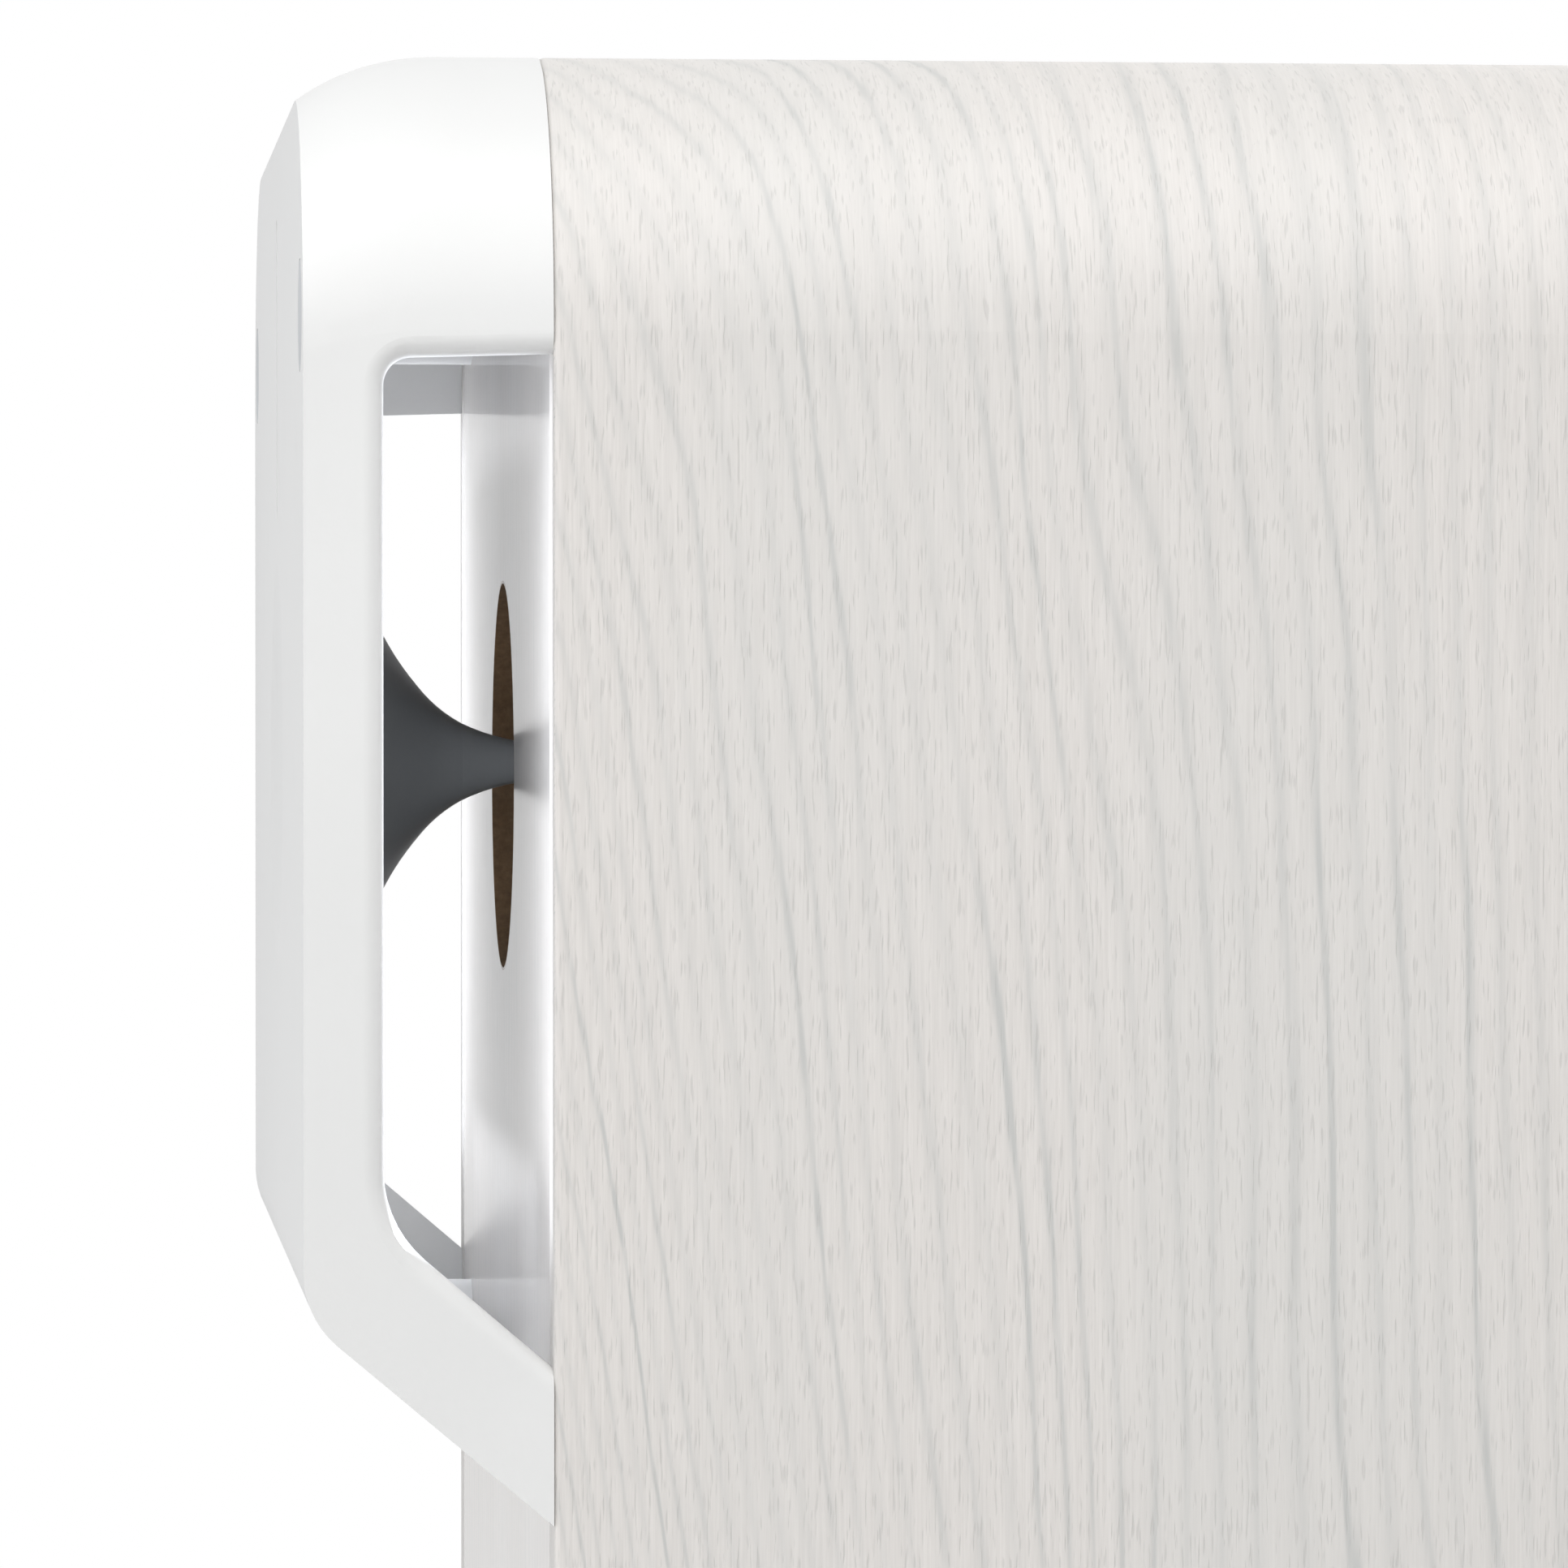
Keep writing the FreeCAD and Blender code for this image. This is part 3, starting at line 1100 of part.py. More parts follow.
def cable(name, runs):
    """Two insulated cores following their own runs, as one node."""
    cores = []
    for run in runs:
        points = [V(*[value(text) for text in point]) for point in run]
        section = Part.makeCircle(value("wire_radius"), points[0], points[1] - points[0])
        cores.append(bent_path(points).makePipeShell([Part.Wire([section])], True, True))
    feature = DOC.addObject("Part::Feature", name)
    feature.Label = name
    feature.Shape = Part.makeCompound(cores)
    EXPORTS.append(feature)


def cables():
    lug_z, woofer_tab_y = "term_z-lug_tab_drop", "fascia_front_y+woofer_tab_s"
    tweeter_tab_y = "fascia_front_y+tweeter_tab_s+tweeter_tab_reach"
    cable("terminal_cable", [
        [(side + "post_half_pitch", "lug_y", lug_z), (side + "post_half_pitch", "lug_lead_y", lug_z),
         (side + "post_half_pitch", "lug_lead_y", "board_top_z")] for side in ("", "-")])
    cable("woofer_cable", [
        [(side + "tab_x", woofer_tab_y, "woofer_z-woofer_tab_drop"),
         (side + "tab_x", woofer_tab_y, "woofer_lead_z"),
         (side + "tab_x", "woofer_lead_y", "woofer_lead_z"),
         (side + "tab_x", "woofer_lead_y", "board_top_z")] for side in ("", "-")])
    cable("tweeter_cable", [
        [(side + "tab_x", tweeter_tab_y, "tweeter_z-" + drop), (side + "tab_x", y, "tweeter_z-" + drop),
         (x, y, "tweeter_z-" + drop), (x, y, "tweeter_lead_z"),
         (x, "tweeter_lead_end_y", "tweeter_lead_z"), (x, "tweeter_lead_end_y", "board_top_z")]
        for side, drop, y, x in (
            ("", "tweeter_tab_low", "tweeter_lead_y", "tweeter_lead_x"),
            ("-", "tweeter_tab_high", "tweeter_lead_y-lead_step_y", "tweeter_lead_x+lead_step_x"))])


# ---------------------------------------------------------------- build and export

BUILDERS = (cabinet_wrap, front_baffle, front_fascia, rear_panel, window_brace, lining_pads,
            port_tube, rubber_feet, threaded_insert, port_hood, diffuser_cone, wall_bumpers,
            terminal_plate, binding_posts, post_hardware, crossover_board, board_mounting,
            inductors, capacitors, resistors, woofer_basket, woofer_motor,
            woofer_moving_parts, tweeter_faceplate, tweeter_motor, tweeter_moving_parts,
            fasteners, driver_tabs, grille_frame, grille_cloth, grille_holders, cables)


def check_document():
    for obj in DOC.Objects:
        if "Invalid" in obj.State or "Error" in obj.State:
            raise RuntimeError("%s did not compute: %s" % (obj.Label, obj.State))
    for obj in EXPORTS:
        if obj.Shape.isNull() or not obj.Shape.isValid():
            raise RuntimeError("%s has no valid shape" % obj.Label)


def main():
    fill_table()
    for build in BUILDERS:
        build()
    DOC.recompute()
    check_document()
    os.makedirs("parts", exist_ok=True)
    for obj in EXPORTS:
        obj.Shape.exportStep("parts/%s.step" % obj.Label)


main()
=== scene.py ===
import math

import bmesh
import bpy
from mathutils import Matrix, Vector, noise


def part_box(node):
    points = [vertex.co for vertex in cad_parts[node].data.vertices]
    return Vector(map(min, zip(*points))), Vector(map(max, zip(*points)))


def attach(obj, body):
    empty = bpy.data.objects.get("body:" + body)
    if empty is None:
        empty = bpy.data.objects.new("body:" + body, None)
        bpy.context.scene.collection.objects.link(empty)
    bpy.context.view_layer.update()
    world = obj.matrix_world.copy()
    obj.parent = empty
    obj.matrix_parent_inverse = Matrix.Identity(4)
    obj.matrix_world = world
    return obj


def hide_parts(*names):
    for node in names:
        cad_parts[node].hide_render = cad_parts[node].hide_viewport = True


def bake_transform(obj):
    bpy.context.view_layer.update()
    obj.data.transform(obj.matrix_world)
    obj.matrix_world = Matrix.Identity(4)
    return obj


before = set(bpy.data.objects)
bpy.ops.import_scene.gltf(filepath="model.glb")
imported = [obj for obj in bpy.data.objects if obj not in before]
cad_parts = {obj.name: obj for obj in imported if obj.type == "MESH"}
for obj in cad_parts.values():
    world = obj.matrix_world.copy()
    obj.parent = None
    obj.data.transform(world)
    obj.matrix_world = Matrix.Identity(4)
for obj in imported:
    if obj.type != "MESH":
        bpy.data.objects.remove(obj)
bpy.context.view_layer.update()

MM = 0.001
HALF_WIDTH = 0.095
CORNER_RADIUS = 0.031
CORNER_CENTRE = (0.064, 0.0, 0.126)     # of the rounded corners, from the cabinet's middle
MIDDLE_Z = 0.160
TOP_Z = 0.317
REAR_Y = 0.1026                         # rear rim of the cabinet
VINYL_Y = 0.1020                        # the rear panel's vinyl starts behind this
PORT_Z, PORT_RADIUS = 0.2381, 0.0228
CONE_Z = 0.2397
WOOFER_Z, TWEETER_Z = 0.100, 0.235
FASCIA_Y = -0.118
BOARD_CHIPS = (900.0, 4.0, 0.7)         # noise scale, detail and roughness
LINE_PITCH = 0.0049
STITCH = 0.0008
GAP_TINT = (0.88, 0.92, 1.0)


# ---------------------------------------------------------------- shader helpers

def linear(colour):
    """Linear RGBA of an sRGB colour given as 0-255."""
    parts = [c / 255 for c in colour]
    return [c / 12.92 if c <= 0.04045 else ((c + 0.055) / 1.055) ** 2.4 for c in parts] + [1.0]


class Shader:
    """A material being wired, with short calls for the nodes used here."""

    def __init__(self, name, **settings):
        self.material = bpy.data.materials.new(name)
        self.material.use_nodes = True
        self.tree = self.material.node_tree
        self.bsdf = self.tree.nodes["Principled BSDF"]
        for socket, value in settings.items():
            self.bsdf.inputs[socket.replace("_", " ")].default_value = value
        self.place = self.add("ShaderNodeTexCoord").outputs["Object"]

    def add(self, kind, inputs=(), **settings):
        node = self.tree.nodes.new(kind)
        for key, value in settings.items():
            setattr(node, key, value)
        for key, value in enumerate(inputs):
            self.feed(node.inputs[key], value)
        return node

    def feed(self, socket, value):
        if isinstance(value, bpy.types.NodeSocket):
            self.tree.links.new(value, socket)
        elif value is not None:
            socket.default_value = value

    def math(self, operation, *values):
        return self.add("ShaderNodeMath", values, operation=operation).outputs[0]

    def vector(self, operation, *values):
        node = self.add("ShaderNodeVectorMath", values, operation=operation)
        return node.outputs["Value" if operation in ("LENGTH", "DOT_PRODUCT") else "Vector"]

    def split(self, vector=None):
        return self.add("ShaderNodeSeparateXYZ", [vector or self.place]).outputs[:]

    def join(self, x, y, z):
        return self.add("ShaderNodeCombineXYZ", [x, y, z]).outputs[0]

    def scaled(self, x, y, z):
        return self.vector("MULTIPLY", self.place, (x, y, z))

    def noise(self, scale, detail=2.0, rough=0.5, vector=None, distort=0.0):
        node = self.add("ShaderNodeTexNoise")
        self.feed(node.inputs["Vector"], vector or self.place)
        for key, value in (("Scale", scale), ("Detail", detail), ("Roughness", rough),
                           ("Distortion", distort)):
            node.inputs[key].default_value = value
        return node.outputs["Fac"]

    def cells(self, scale, vector=None, feature="F1"):
        node = self.add("ShaderNodeTexVoronoi", feature=feature)
        self.feed(node.inputs["Vector"], vector or self.place)
        node.inputs["Scale"].default_value = scale
        return node.outputs["Distance"]

    def span(self, value, low, high, out_low=0.0, out_high=1.0, smooth=True):
        kind = "SMOOTHSTEP" if smooth else "LINEAR"
        node = self.add("ShaderNodeMapRange", interpolation_type=kind)
        self.feed(node.inputs["Value"], value)
        for key, number in (("From Min", low), ("From Max", high), ("To Min", out_low),
                            ("To Max", out_high)):
            self.feed(node.inputs[key], number)
        return node.outputs["Result"]

    def mix(self, factor, first, second):
        node = self.add("ShaderNodeMix", data_type="RGBA")
        self.feed(node.inputs["Factor"], factor)
        self.feed(node.inputs[6], first)
        self.feed(node.inputs[7], second)
        return node.outputs[2]

    def paint(self, colour, rough, bump=None, height=0.1):
        """Wire colour, roughness and a bump of the given height in mm; the finished material."""
        self.feed(self.bsdf.inputs["Base Color"], colour)
        self.feed(self.bsdf.inputs["Roughness"], rough)
        if bump is not None:
            node = self.add("ShaderNodeBump")
            node.inputs["Strength"].default_value = 1.0
            node.inputs["Distance"].default_value = height * MM
            self.feed(node.inputs["Height"], bump)
            self.feed(self.bsdf.inputs["Normal"], node.outputs["Normal"])
        return self.material


# ---------------------------------------------------------------- materials

def streaks(s, across, along, wide, long, seed, detail=1.0, rough=0.5):
    """Noise with wide cells per metre across the grain and long cells per metre along it."""
    return s.noise(1.0, detail, rough, s.join(s.math("MULTIPLY", across, wide),
                                              s.math("MULTIPLY", along, long), seed))


def centred(s, value, swing):
    return s.math("MULTIPLY", s.math("SUBTRACT", value, 0.5), swing)


def wood_lines(s, along, across, lean):
    """Grey grain lines and pores: along runs with the grain, across counts from the rear edge."""
    reach = s.math("MULTIPLY", s.math("EXPONENT", s.math("MULTIPLY", across, -1 / 0.038)), lean)
    broad = streaks(s, across, along, 30.0, 7.0, 0.37, 2.0)
    fine = streaks(s, across, along, 160.0, 32.0, 0.61, 2.0)
    comb = streaks(s, across, along, 1300.0, 22.0, 3.3)
    drift = s.math("ADD", centred(s, broad, 0.020),
                   s.math("ADD", centred(s, fine, 0.0014), centred(s, comb, 0.0013)))
    field = s.math("ADD", s.math("SUBTRACT", across, s.math("MULTIPLY", reach, along)), drift)
    steps = s.math("DIVIDE", field, LINE_PITCH)
    which = s.math("FLOOR", steps)
    inside = s.math("ABSOLUTE", s.math("SUBTRACT", s.math("FRACT", steps), 0.5))
    number = s.add("ShaderNodeTexWhiteNoise", noise_dimensions="1D")
    s.feed(number.inputs["W"], which)
    strength = s.span(number.outputs["Value"], 0.0, 1.0, 0.30, 1.0, smooth=False)
    line = s.math("MULTIPLY", s.span(inside, 0.02, 0.17, 1.0, 0.0), strength)
    breaks = streaks(s, across, along, 900.0, 60.0, 1.9)
    fade = streaks(s, which, along, 7.3, 13.0, 5.1)
    line = s.math("MULTIPLY", line, s.math("MULTIPLY", s.span(breaks, 0.30, 0.62, 0.4, 1.0),
                                           s.span(fade, 0.38, 0.66, 0.08, 1.0)))
    haze = s.math("MULTIPLY", s.span(inside, 0.0, 0.42, 1.0, 0.0), 0.20)
    pores = s.span(streaks(s, across, along, 3400.0, 300.0, 4.2), 0.57, 0.74, 0.0, 1.0)
    fibre = streaks(s, across, along, 3600.0, 90.0, 7.7, 3.0, 0.6)
    return line, haze, pores, fibre


def board_colour(s):
    """Brown wood-fibre board where the vinyl does not reach."""
    return s.mix(s.noise(*BOARD_CHIPS), linear((88, 66, 46)), linear((146, 118, 88)))


def vinyl(s, along, across, lean, raw, tones):
    """White-washed wood foil in two tones, bare board where raw is 1."""
    line, haze, pores, fibre = wood_lines(s, along, across, lean)
    base = s.mix(s.span(fibre, 0.25, 0.75), linear(tones[0]), linear(tones[1]))
    patch = streaks(s, across, along, 26.0, 5.0, 2.2)
    base = s.mix(s.span(patch, 0.35, 0.7, 0.0, 0.5), base, linear((213, 212, 209)))
    tone = s.math("MINIMUM", s.math("ADD", line, haze), 1.0)
    base = s.mix(s.math("MULTIPLY", tone, 0.80), base, linear((188, 189, 187)))
    base = s.mix(s.math("MULTIPLY", pores, 0.38), base, linear((186, 184, 181)))
    base = s.mix(raw, base, board_colour(s))
    rough = s.math("ADD", s.span(fibre, 0.2, 0.8, 0.42, 0.54), s.math("MULTIPLY", raw, 0.45))
    depth = s.math("SUBTRACT", s.math("MULTIPLY", fibre, 0.25),
                   s.math("ADD", s.math("MULTIPLY", pores, 0.55), s.math("MULTIPLY", line, 0.35)))
    return s.paint(base, rough, depth, 0.05)


def wrap_vinyl():
    """Vinyl that turns over the cabinet's corners, seam underneath; board on the inner faces."""
    s = Shader("wrap_vinyl", Specular_IOR_Level=0.45)
    x, y, z = s.split()
    down = s.math("SUBTRACT", TOP_Z, z)
    facing = s.split(s.add("ShaderNodeNewGeometry").outputs["Normal"])[1]
    end_face = s.math("GREATER_THAN", s.math("ABSOLUTE", facing), 0.8)
    across = s.math("ADD", s.math("SUBTRACT", REAR_Y, y), s.math("MULTIPLY", end_face, x))
    inward = s.math("SUBTRACT", HALF_WIDTH, s.math("ABSOLUTE", x))
    over_top = s.span(down, 0.0, CORNER_RADIUS, -1.0, 0.0)
    along = s.math("ADD", down, s.math("MULTIPLY", inward, over_top))
    from_middle = s.join(x, 0.0, s.math("SUBTRACT", z, MIDDLE_Z))
    corner = s.vector("SUBTRACT", s.vector("ABSOLUTE", from_middle), CORNER_CENTRE)
    outside = s.vector("LENGTH", s.vector("MAXIMUM", corner, (0.0, 0.0, 0.0)))
    cx, _, cz = s.split(corner)
    reach = s.math("ADD", outside, s.math("MINIMUM", s.math("MAXIMUM", cx, cz), 0.0))
    buried = s.math("LESS_THAN", reach, CORNER_RADIUS - MM)
    raw = s.math("MULTIPLY", buried, s.math("LESS_THAN", y, VINYL_Y))
    return vinyl(s, along, across, 0.45, raw, ((214, 210, 206), (224, 220, 216)))


def panel_vinyl():
    """Same vinyl on the rear panel in darker tones as painted shade, with raw board in the port hole
    and inside.
    """
    s = Shader("panel_vinyl", Specular_IOR_Level=0.5, Coat_Weight=0.55, Coat_Roughness=0.13)
    x, y, z = s.split()
    off = s.join(x, 0.0, s.math("SUBTRACT", z, PORT_Z))
    hole = s.math("LESS_THAN", s.vector("LENGTH", off), PORT_RADIUS)
    raw = s.math("MAXIMUM", hole, s.math("LESS_THAN", y, VINYL_Y))
    across = s.math("ADD", x, 0.30)
    # painted shade: the panel's tones sit below the wrap's to stand in for the shade under the hood
    return vinyl(s, s.math("SUBTRACT", TOP_Z, z), across, 0.0, raw,
                 ((198, 193, 189), (208, 203, 199)))


def moulded(name, colour, rough=0.45, tone=0.04, grain=1500.0, height=0.015, scuff=0.1, **settings):
    """Moulded plastic, rubber or paint: slow tone drift, fine texture and faint scuffs."""
    s = Shader(name, **settings)
    base = linear(colour)
    light = [min(1.0, c * (1 + tone * 2) + tone * 0.05) for c in base[:3]] + [1.0]
    dark = [c * (1 - tone) for c in base[:3]] + [1.0]
    drift = s.noise(18.0, 3.0, 0.55)
    mottle = s.noise(grain * 0.6, 2.0, 0.6)
    tint = s.mix(s.span(drift, 0.3, 0.7), dark, light)
    tint = s.mix(s.math("MULTIPLY", mottle, tone * 2), tint, dark)
    scrape = s.span(s.noise(60.0, 4.0, 0.7, distort=0.6), 0.58, 0.74)
    shine = s.math("ADD", s.span(drift, 0.3, 0.7, rough - 0.03, rough + 0.04),
                   s.math("MULTIPLY", scrape, scuff))
    skin = s.math("ADD", s.noise(grain, 2.0, 0.5), s.math("MULTIPLY", s.noise(grain * 0.12), 0.7))
    return s.paint(tint, shine, skin, height)


def turned_metal(name, colour, axis_z=None, rough=0.3, stain=0.25):
    """Plated metal: fine rings about an axis along Y where axis_z is given, else brushed noise."""
    pitch = 5200.0
    s = Shader(name, Metallic=1.0)
    x, y, z = s.split()
    if axis_z is None:
        lines = s.noise(1.0, 3.0, 0.6, s.scaled(900.0, pitch, 900.0))
    else:
        radius = s.vector("LENGTH", s.join(x, 0.0, s.math("SUBTRACT", z, axis_z)))
        lines = s.noise(1.0, 3.0, 0.65, s.join(s.math("MULTIPLY", radius, pitch),
                                               s.math("MULTIPLY", y, pitch), 0.5))
    cloud = s.noise(45.0, 4.0, 0.6)
    spots = s.span(s.noise(420.0, 3.0, 0.6), 0.62, 0.78)
    base = linear(colour)
    dull = [c * 0.62 for c in base[:3]] + [1.0]
    tint = s.mix(s.span(lines, 0.2, 0.8, 0.0, 0.35), base, dull)
    tint = s.mix(s.math("MULTIPLY", spots, stain), tint, dull)
    shine = s.math("ADD", s.span(lines, 0.2, 0.8, rough - 0.08, rough + 0.10),
                   s.math("MULTIPLY", s.math("ADD", cloud, spots), stain * 0.3))
    return s.paint(tint, shine, lines, 0.006)


def woven(name, colour, gap, pitch, height, rough=0.75, sheen=0.3):
    """Plain weave of two thread sets seen from the front, gap colour painted between the threads as
    their shade.
    """
    s = Shader(name, Sheen_Weight=sheen, Sheen_Roughness=0.45)
    x, _, z = s.split()
    wobble = s.math("MULTIPLY", s.noise(90.0, 2.0), 0.35)
    turns = math.pi / pitch
    u = s.math("SINE", s.math("ADD", s.math("MULTIPLY", x, turns), wobble))
    v = s.math("SINE", s.math("ADD", s.math("MULTIPLY", z, turns), wobble))
    warp = s.math("POWER", s.math("ABSOLUTE", u), 0.6)
    weft = s.math("POWER", s.math("ABSOLUTE", v), 0.6)
    over = s.math("SIGN", s.math("MULTIPLY", u, v))
    lift = s.math("ADD", s.math("MULTIPLY", s.math("MAXIMUM", warp, weft), 0.6),
                  s.math("MULTIPLY", s.math("MULTIPLY", over, s.math("MULTIPLY", warp, weft)), 0.4))
    hairs = s.noise(2.5 / pitch, 3.0, 0.7)
    thread = s.mix(s.span(hairs, 0.25, 0.75), linear([c * 0.82 for c in colour]),
                   linear([min(255, c * 1.14) for c in colour]))
    # painted shade: the low parts between threads take the darker gap colour
    tint = s.mix(s.span(lift, 0.05, 0.75), linear(gap), thread)
    return s.paint(tint, s.span(hairs, 0.2, 0.8, rough - 0.06, rough + 0.1), lift, height)


def copper_wire():
    """Enamelled turns stacked along the coil, seen as fine ridges."""
    s = Shader("copper_wire", Metallic=0.85, Coat_Weight=0.7, Coat_Roughness=0.15)
    _, _, z = s.split()
    turn = s.math("ABSOLUTE", s.math("SINE", s.math("MULTIPLY", z, math.pi / 0.00085)))
    shade = s.noise(70.0, 3.0, 0.6)
    tint = s.mix(shade, linear((150, 70, 36)), linear((206, 118, 66)))
    # painted shade: the grooves between the turns are darkened towards deep brown copper
    tint = s.mix(s.span(turn, 0.0, 0.45, 0.7, 0.0), tint, linear((58, 24, 12)))
    return s.paint(tint, s.span(shade, 0.3, 0.7, 0.24, 0.36), s.math("POWER", turn, 0.5), 0.3)


def circuit_board():
    """Green solder mask with raised tracks and tinned pads."""
    s = Shader("circuit_board", Coat_Weight=0.35, Coat_Roughness=0.2)
    x, y, _ = s.split()
    grid = s.join(s.math("MULTIPLY", x, 85.0), s.math("MULTIPLY", y, 85.0), 0.0)
    lanes = s.cells(1.0, grid, feature="DISTANCE_TO_EDGE")
    track = s.span(lanes, 0.10, 0.16, 1.0, 0.0)
    dots = s.span(s.cells(120.0, s.join(x, y, 0.0)), 0.12, 0.17, 1.0, 0.0)
    weave = s.noise(1400.0, 2.0)
    mask = s.mix(weave, linear((14, 66, 36)), linear((22, 88, 48)))
    tint = s.mix(s.math("MULTIPLY", track, 0.8), mask, linear((44, 126, 66)))
    tint = s.mix(s.math("MULTIPLY", dots, 0.85), tint, linear((196, 198, 200)))
    lift = s.math("ADD", track, s.math("MULTIPLY", dots, 1.4))
    return s.paint(tint, s.span(weave, 0.2, 0.8, 0.3, 0.42), lift, 0.05)


def paper_cone():
    """Pressed pulp: random fibres, slight radial streaks."""
    s = Shader("paper_cone", Sheen_Weight=0.15, Sheen_Roughness=0.6)
    fibres = s.noise(1100.0, 5.0, 0.75, distort=1.2)
    flecks = s.span(s.noise(2600.0, 3.0, 0.7, distort=2.0), 0.60, 0.72)
    blot = s.noise(55.0, 2.0, 0.5)
    tint = s.mix(fibres, linear((30, 31, 33)), linear((62, 63, 66)))
    tint = s.mix(s.math("MULTIPLY", flecks, 0.4), tint, linear((112, 108, 102)))
    tint = s.mix(s.math("MULTIPLY", blot, 0.3), tint, linear((40, 40, 43)))
    return s.paint(tint, s.span(fibres, 0.2, 0.8, 0.62, 0.82), fibres, 0.10)


def wadding():
    """Polyester fibre fill: tangled white strands."""
    s = Shader("wadding", Sheen_Weight=0.5, Sheen_Roughness=0.8, Subsurface_Weight=0.15)
    strands = s.noise(420.0, 6.0, 0.8, distort=2.5)
    hair = s.noise(1900.0, 3.0, 0.7, distort=3.0)
    tint = s.mix(strands, linear((196, 197, 198)), linear((240, 240, 238)))
    tint = s.mix(s.span(hair, 0.58, 0.7, 0.0, 0.5), tint, linear((170, 172, 175)))
    return s.paint(tint, 0.95, s.math("ADD", strands, s.math("MULTIPLY", hair, 0.5)), 0.9)


def cast_cement():
    """Pale pitted body of the resistors."""
    s = Shader("cast_cement")
    sand = s.noise(1300.0, 4.0, 0.7)
    pits = s.span(s.cells(700.0), 0.05, 0.16, 1.0, 0.0)
    tint = s.mix(sand, linear((206, 204, 198)), linear((238, 236, 230)))
    # painted shade: the pits are darkened as the shade inside them
    tint = s.mix(s.math("MULTIPLY", pits, 0.5), tint, linear((150, 147, 140)))
    return s.paint(tint, s.span(sand, 0.2, 0.8, 0.75, 0.9), s.math("SUBTRACT", sand, pits), 0.08)


def bare_board():
    """Fibre board, chips showing."""
    s = Shader("bare_board")
    chips = s.noise(*BOARD_CHIPS)
    return s.paint(board_colour(s), s.span(chips, 0.2, 0.8, 0.78, 0.92), chips, 0.06)


def jacket(name, colour):
    """Cable insulation with a slow twist line."""
    s = Shader(name, Specular_IOR_Level=0.4)
    x, y, z = s.split()
    run = s.math("ADD", s.math("ADD", x, y), z)
    ripple = s.math("SINE", s.math("MULTIPLY", run, math.tau / 0.011))
    smudge = s.noise(260.0, 3.0, 0.6)
    base = linear(colour)
    tint = s.mix(s.math("MULTIPLY", smudge, 0.6), base, [min(1, c * 1.7 + 0.01) for c in base])
    return s.paint(tint, s.span(smudge, 0.2, 0.8, 0.4, 0.58), ripple, 0.02)


def cone_painted_shade():
    """Satin moulding of the diffuser, painted dark grey as the deep shade it sits in inside the hood,
    with faint turning marks about the port axis.
    """
    s = Shader("cone_painted_shade", Specular_IOR_Level=0.55, Coat_Weight=0.12, Coat_Roughness=0.35)
    x, y, z = s.split()
    radius = s.vector("LENGTH", s.join(x, 0.0, s.math("SUBTRACT", z, CONE_Z)))
    rings = s.noise(1.0, 2.0, 0.6, s.join(s.math("MULTIPLY", radius, 1800.0),
                                          s.math("MULTIPLY", y, 1800.0), 0.2))
    drift = s.noise(40.0, 3.0, 0.5)
    # painted shade: these grey tones stand in for the deep shade inside the hood
    tint = s.mix(drift, linear((113, 115, 116)), linear((125, 127, 128)))
    grain = s.math("ADD", s.noise(2200.0, 2.0), s.math("MULTIPLY", rings, 0.6))
    return s.paint(tint, s.span(drift, 0.3, 0.7, 0.34, 0.44), grain, 0.012)


def screw_metal(name, colour):
    """Plated screws, plating worn through in places."""
    s = Shader(name, Metallic=0.9)
    wear = s.span(s.noise(1300.0, 4.0, 0.7), 0.5, 0.72)
    base = linear(colour)
    tint = s.mix(s.math("MULTIPLY", wear, 0.55), base, linear((150, 150, 150)))
    return s.paint(tint, s.span(wear, 0.0, 1.0, 0.42, 0.26), s.noise(3000.0, 2.0), 0.01)


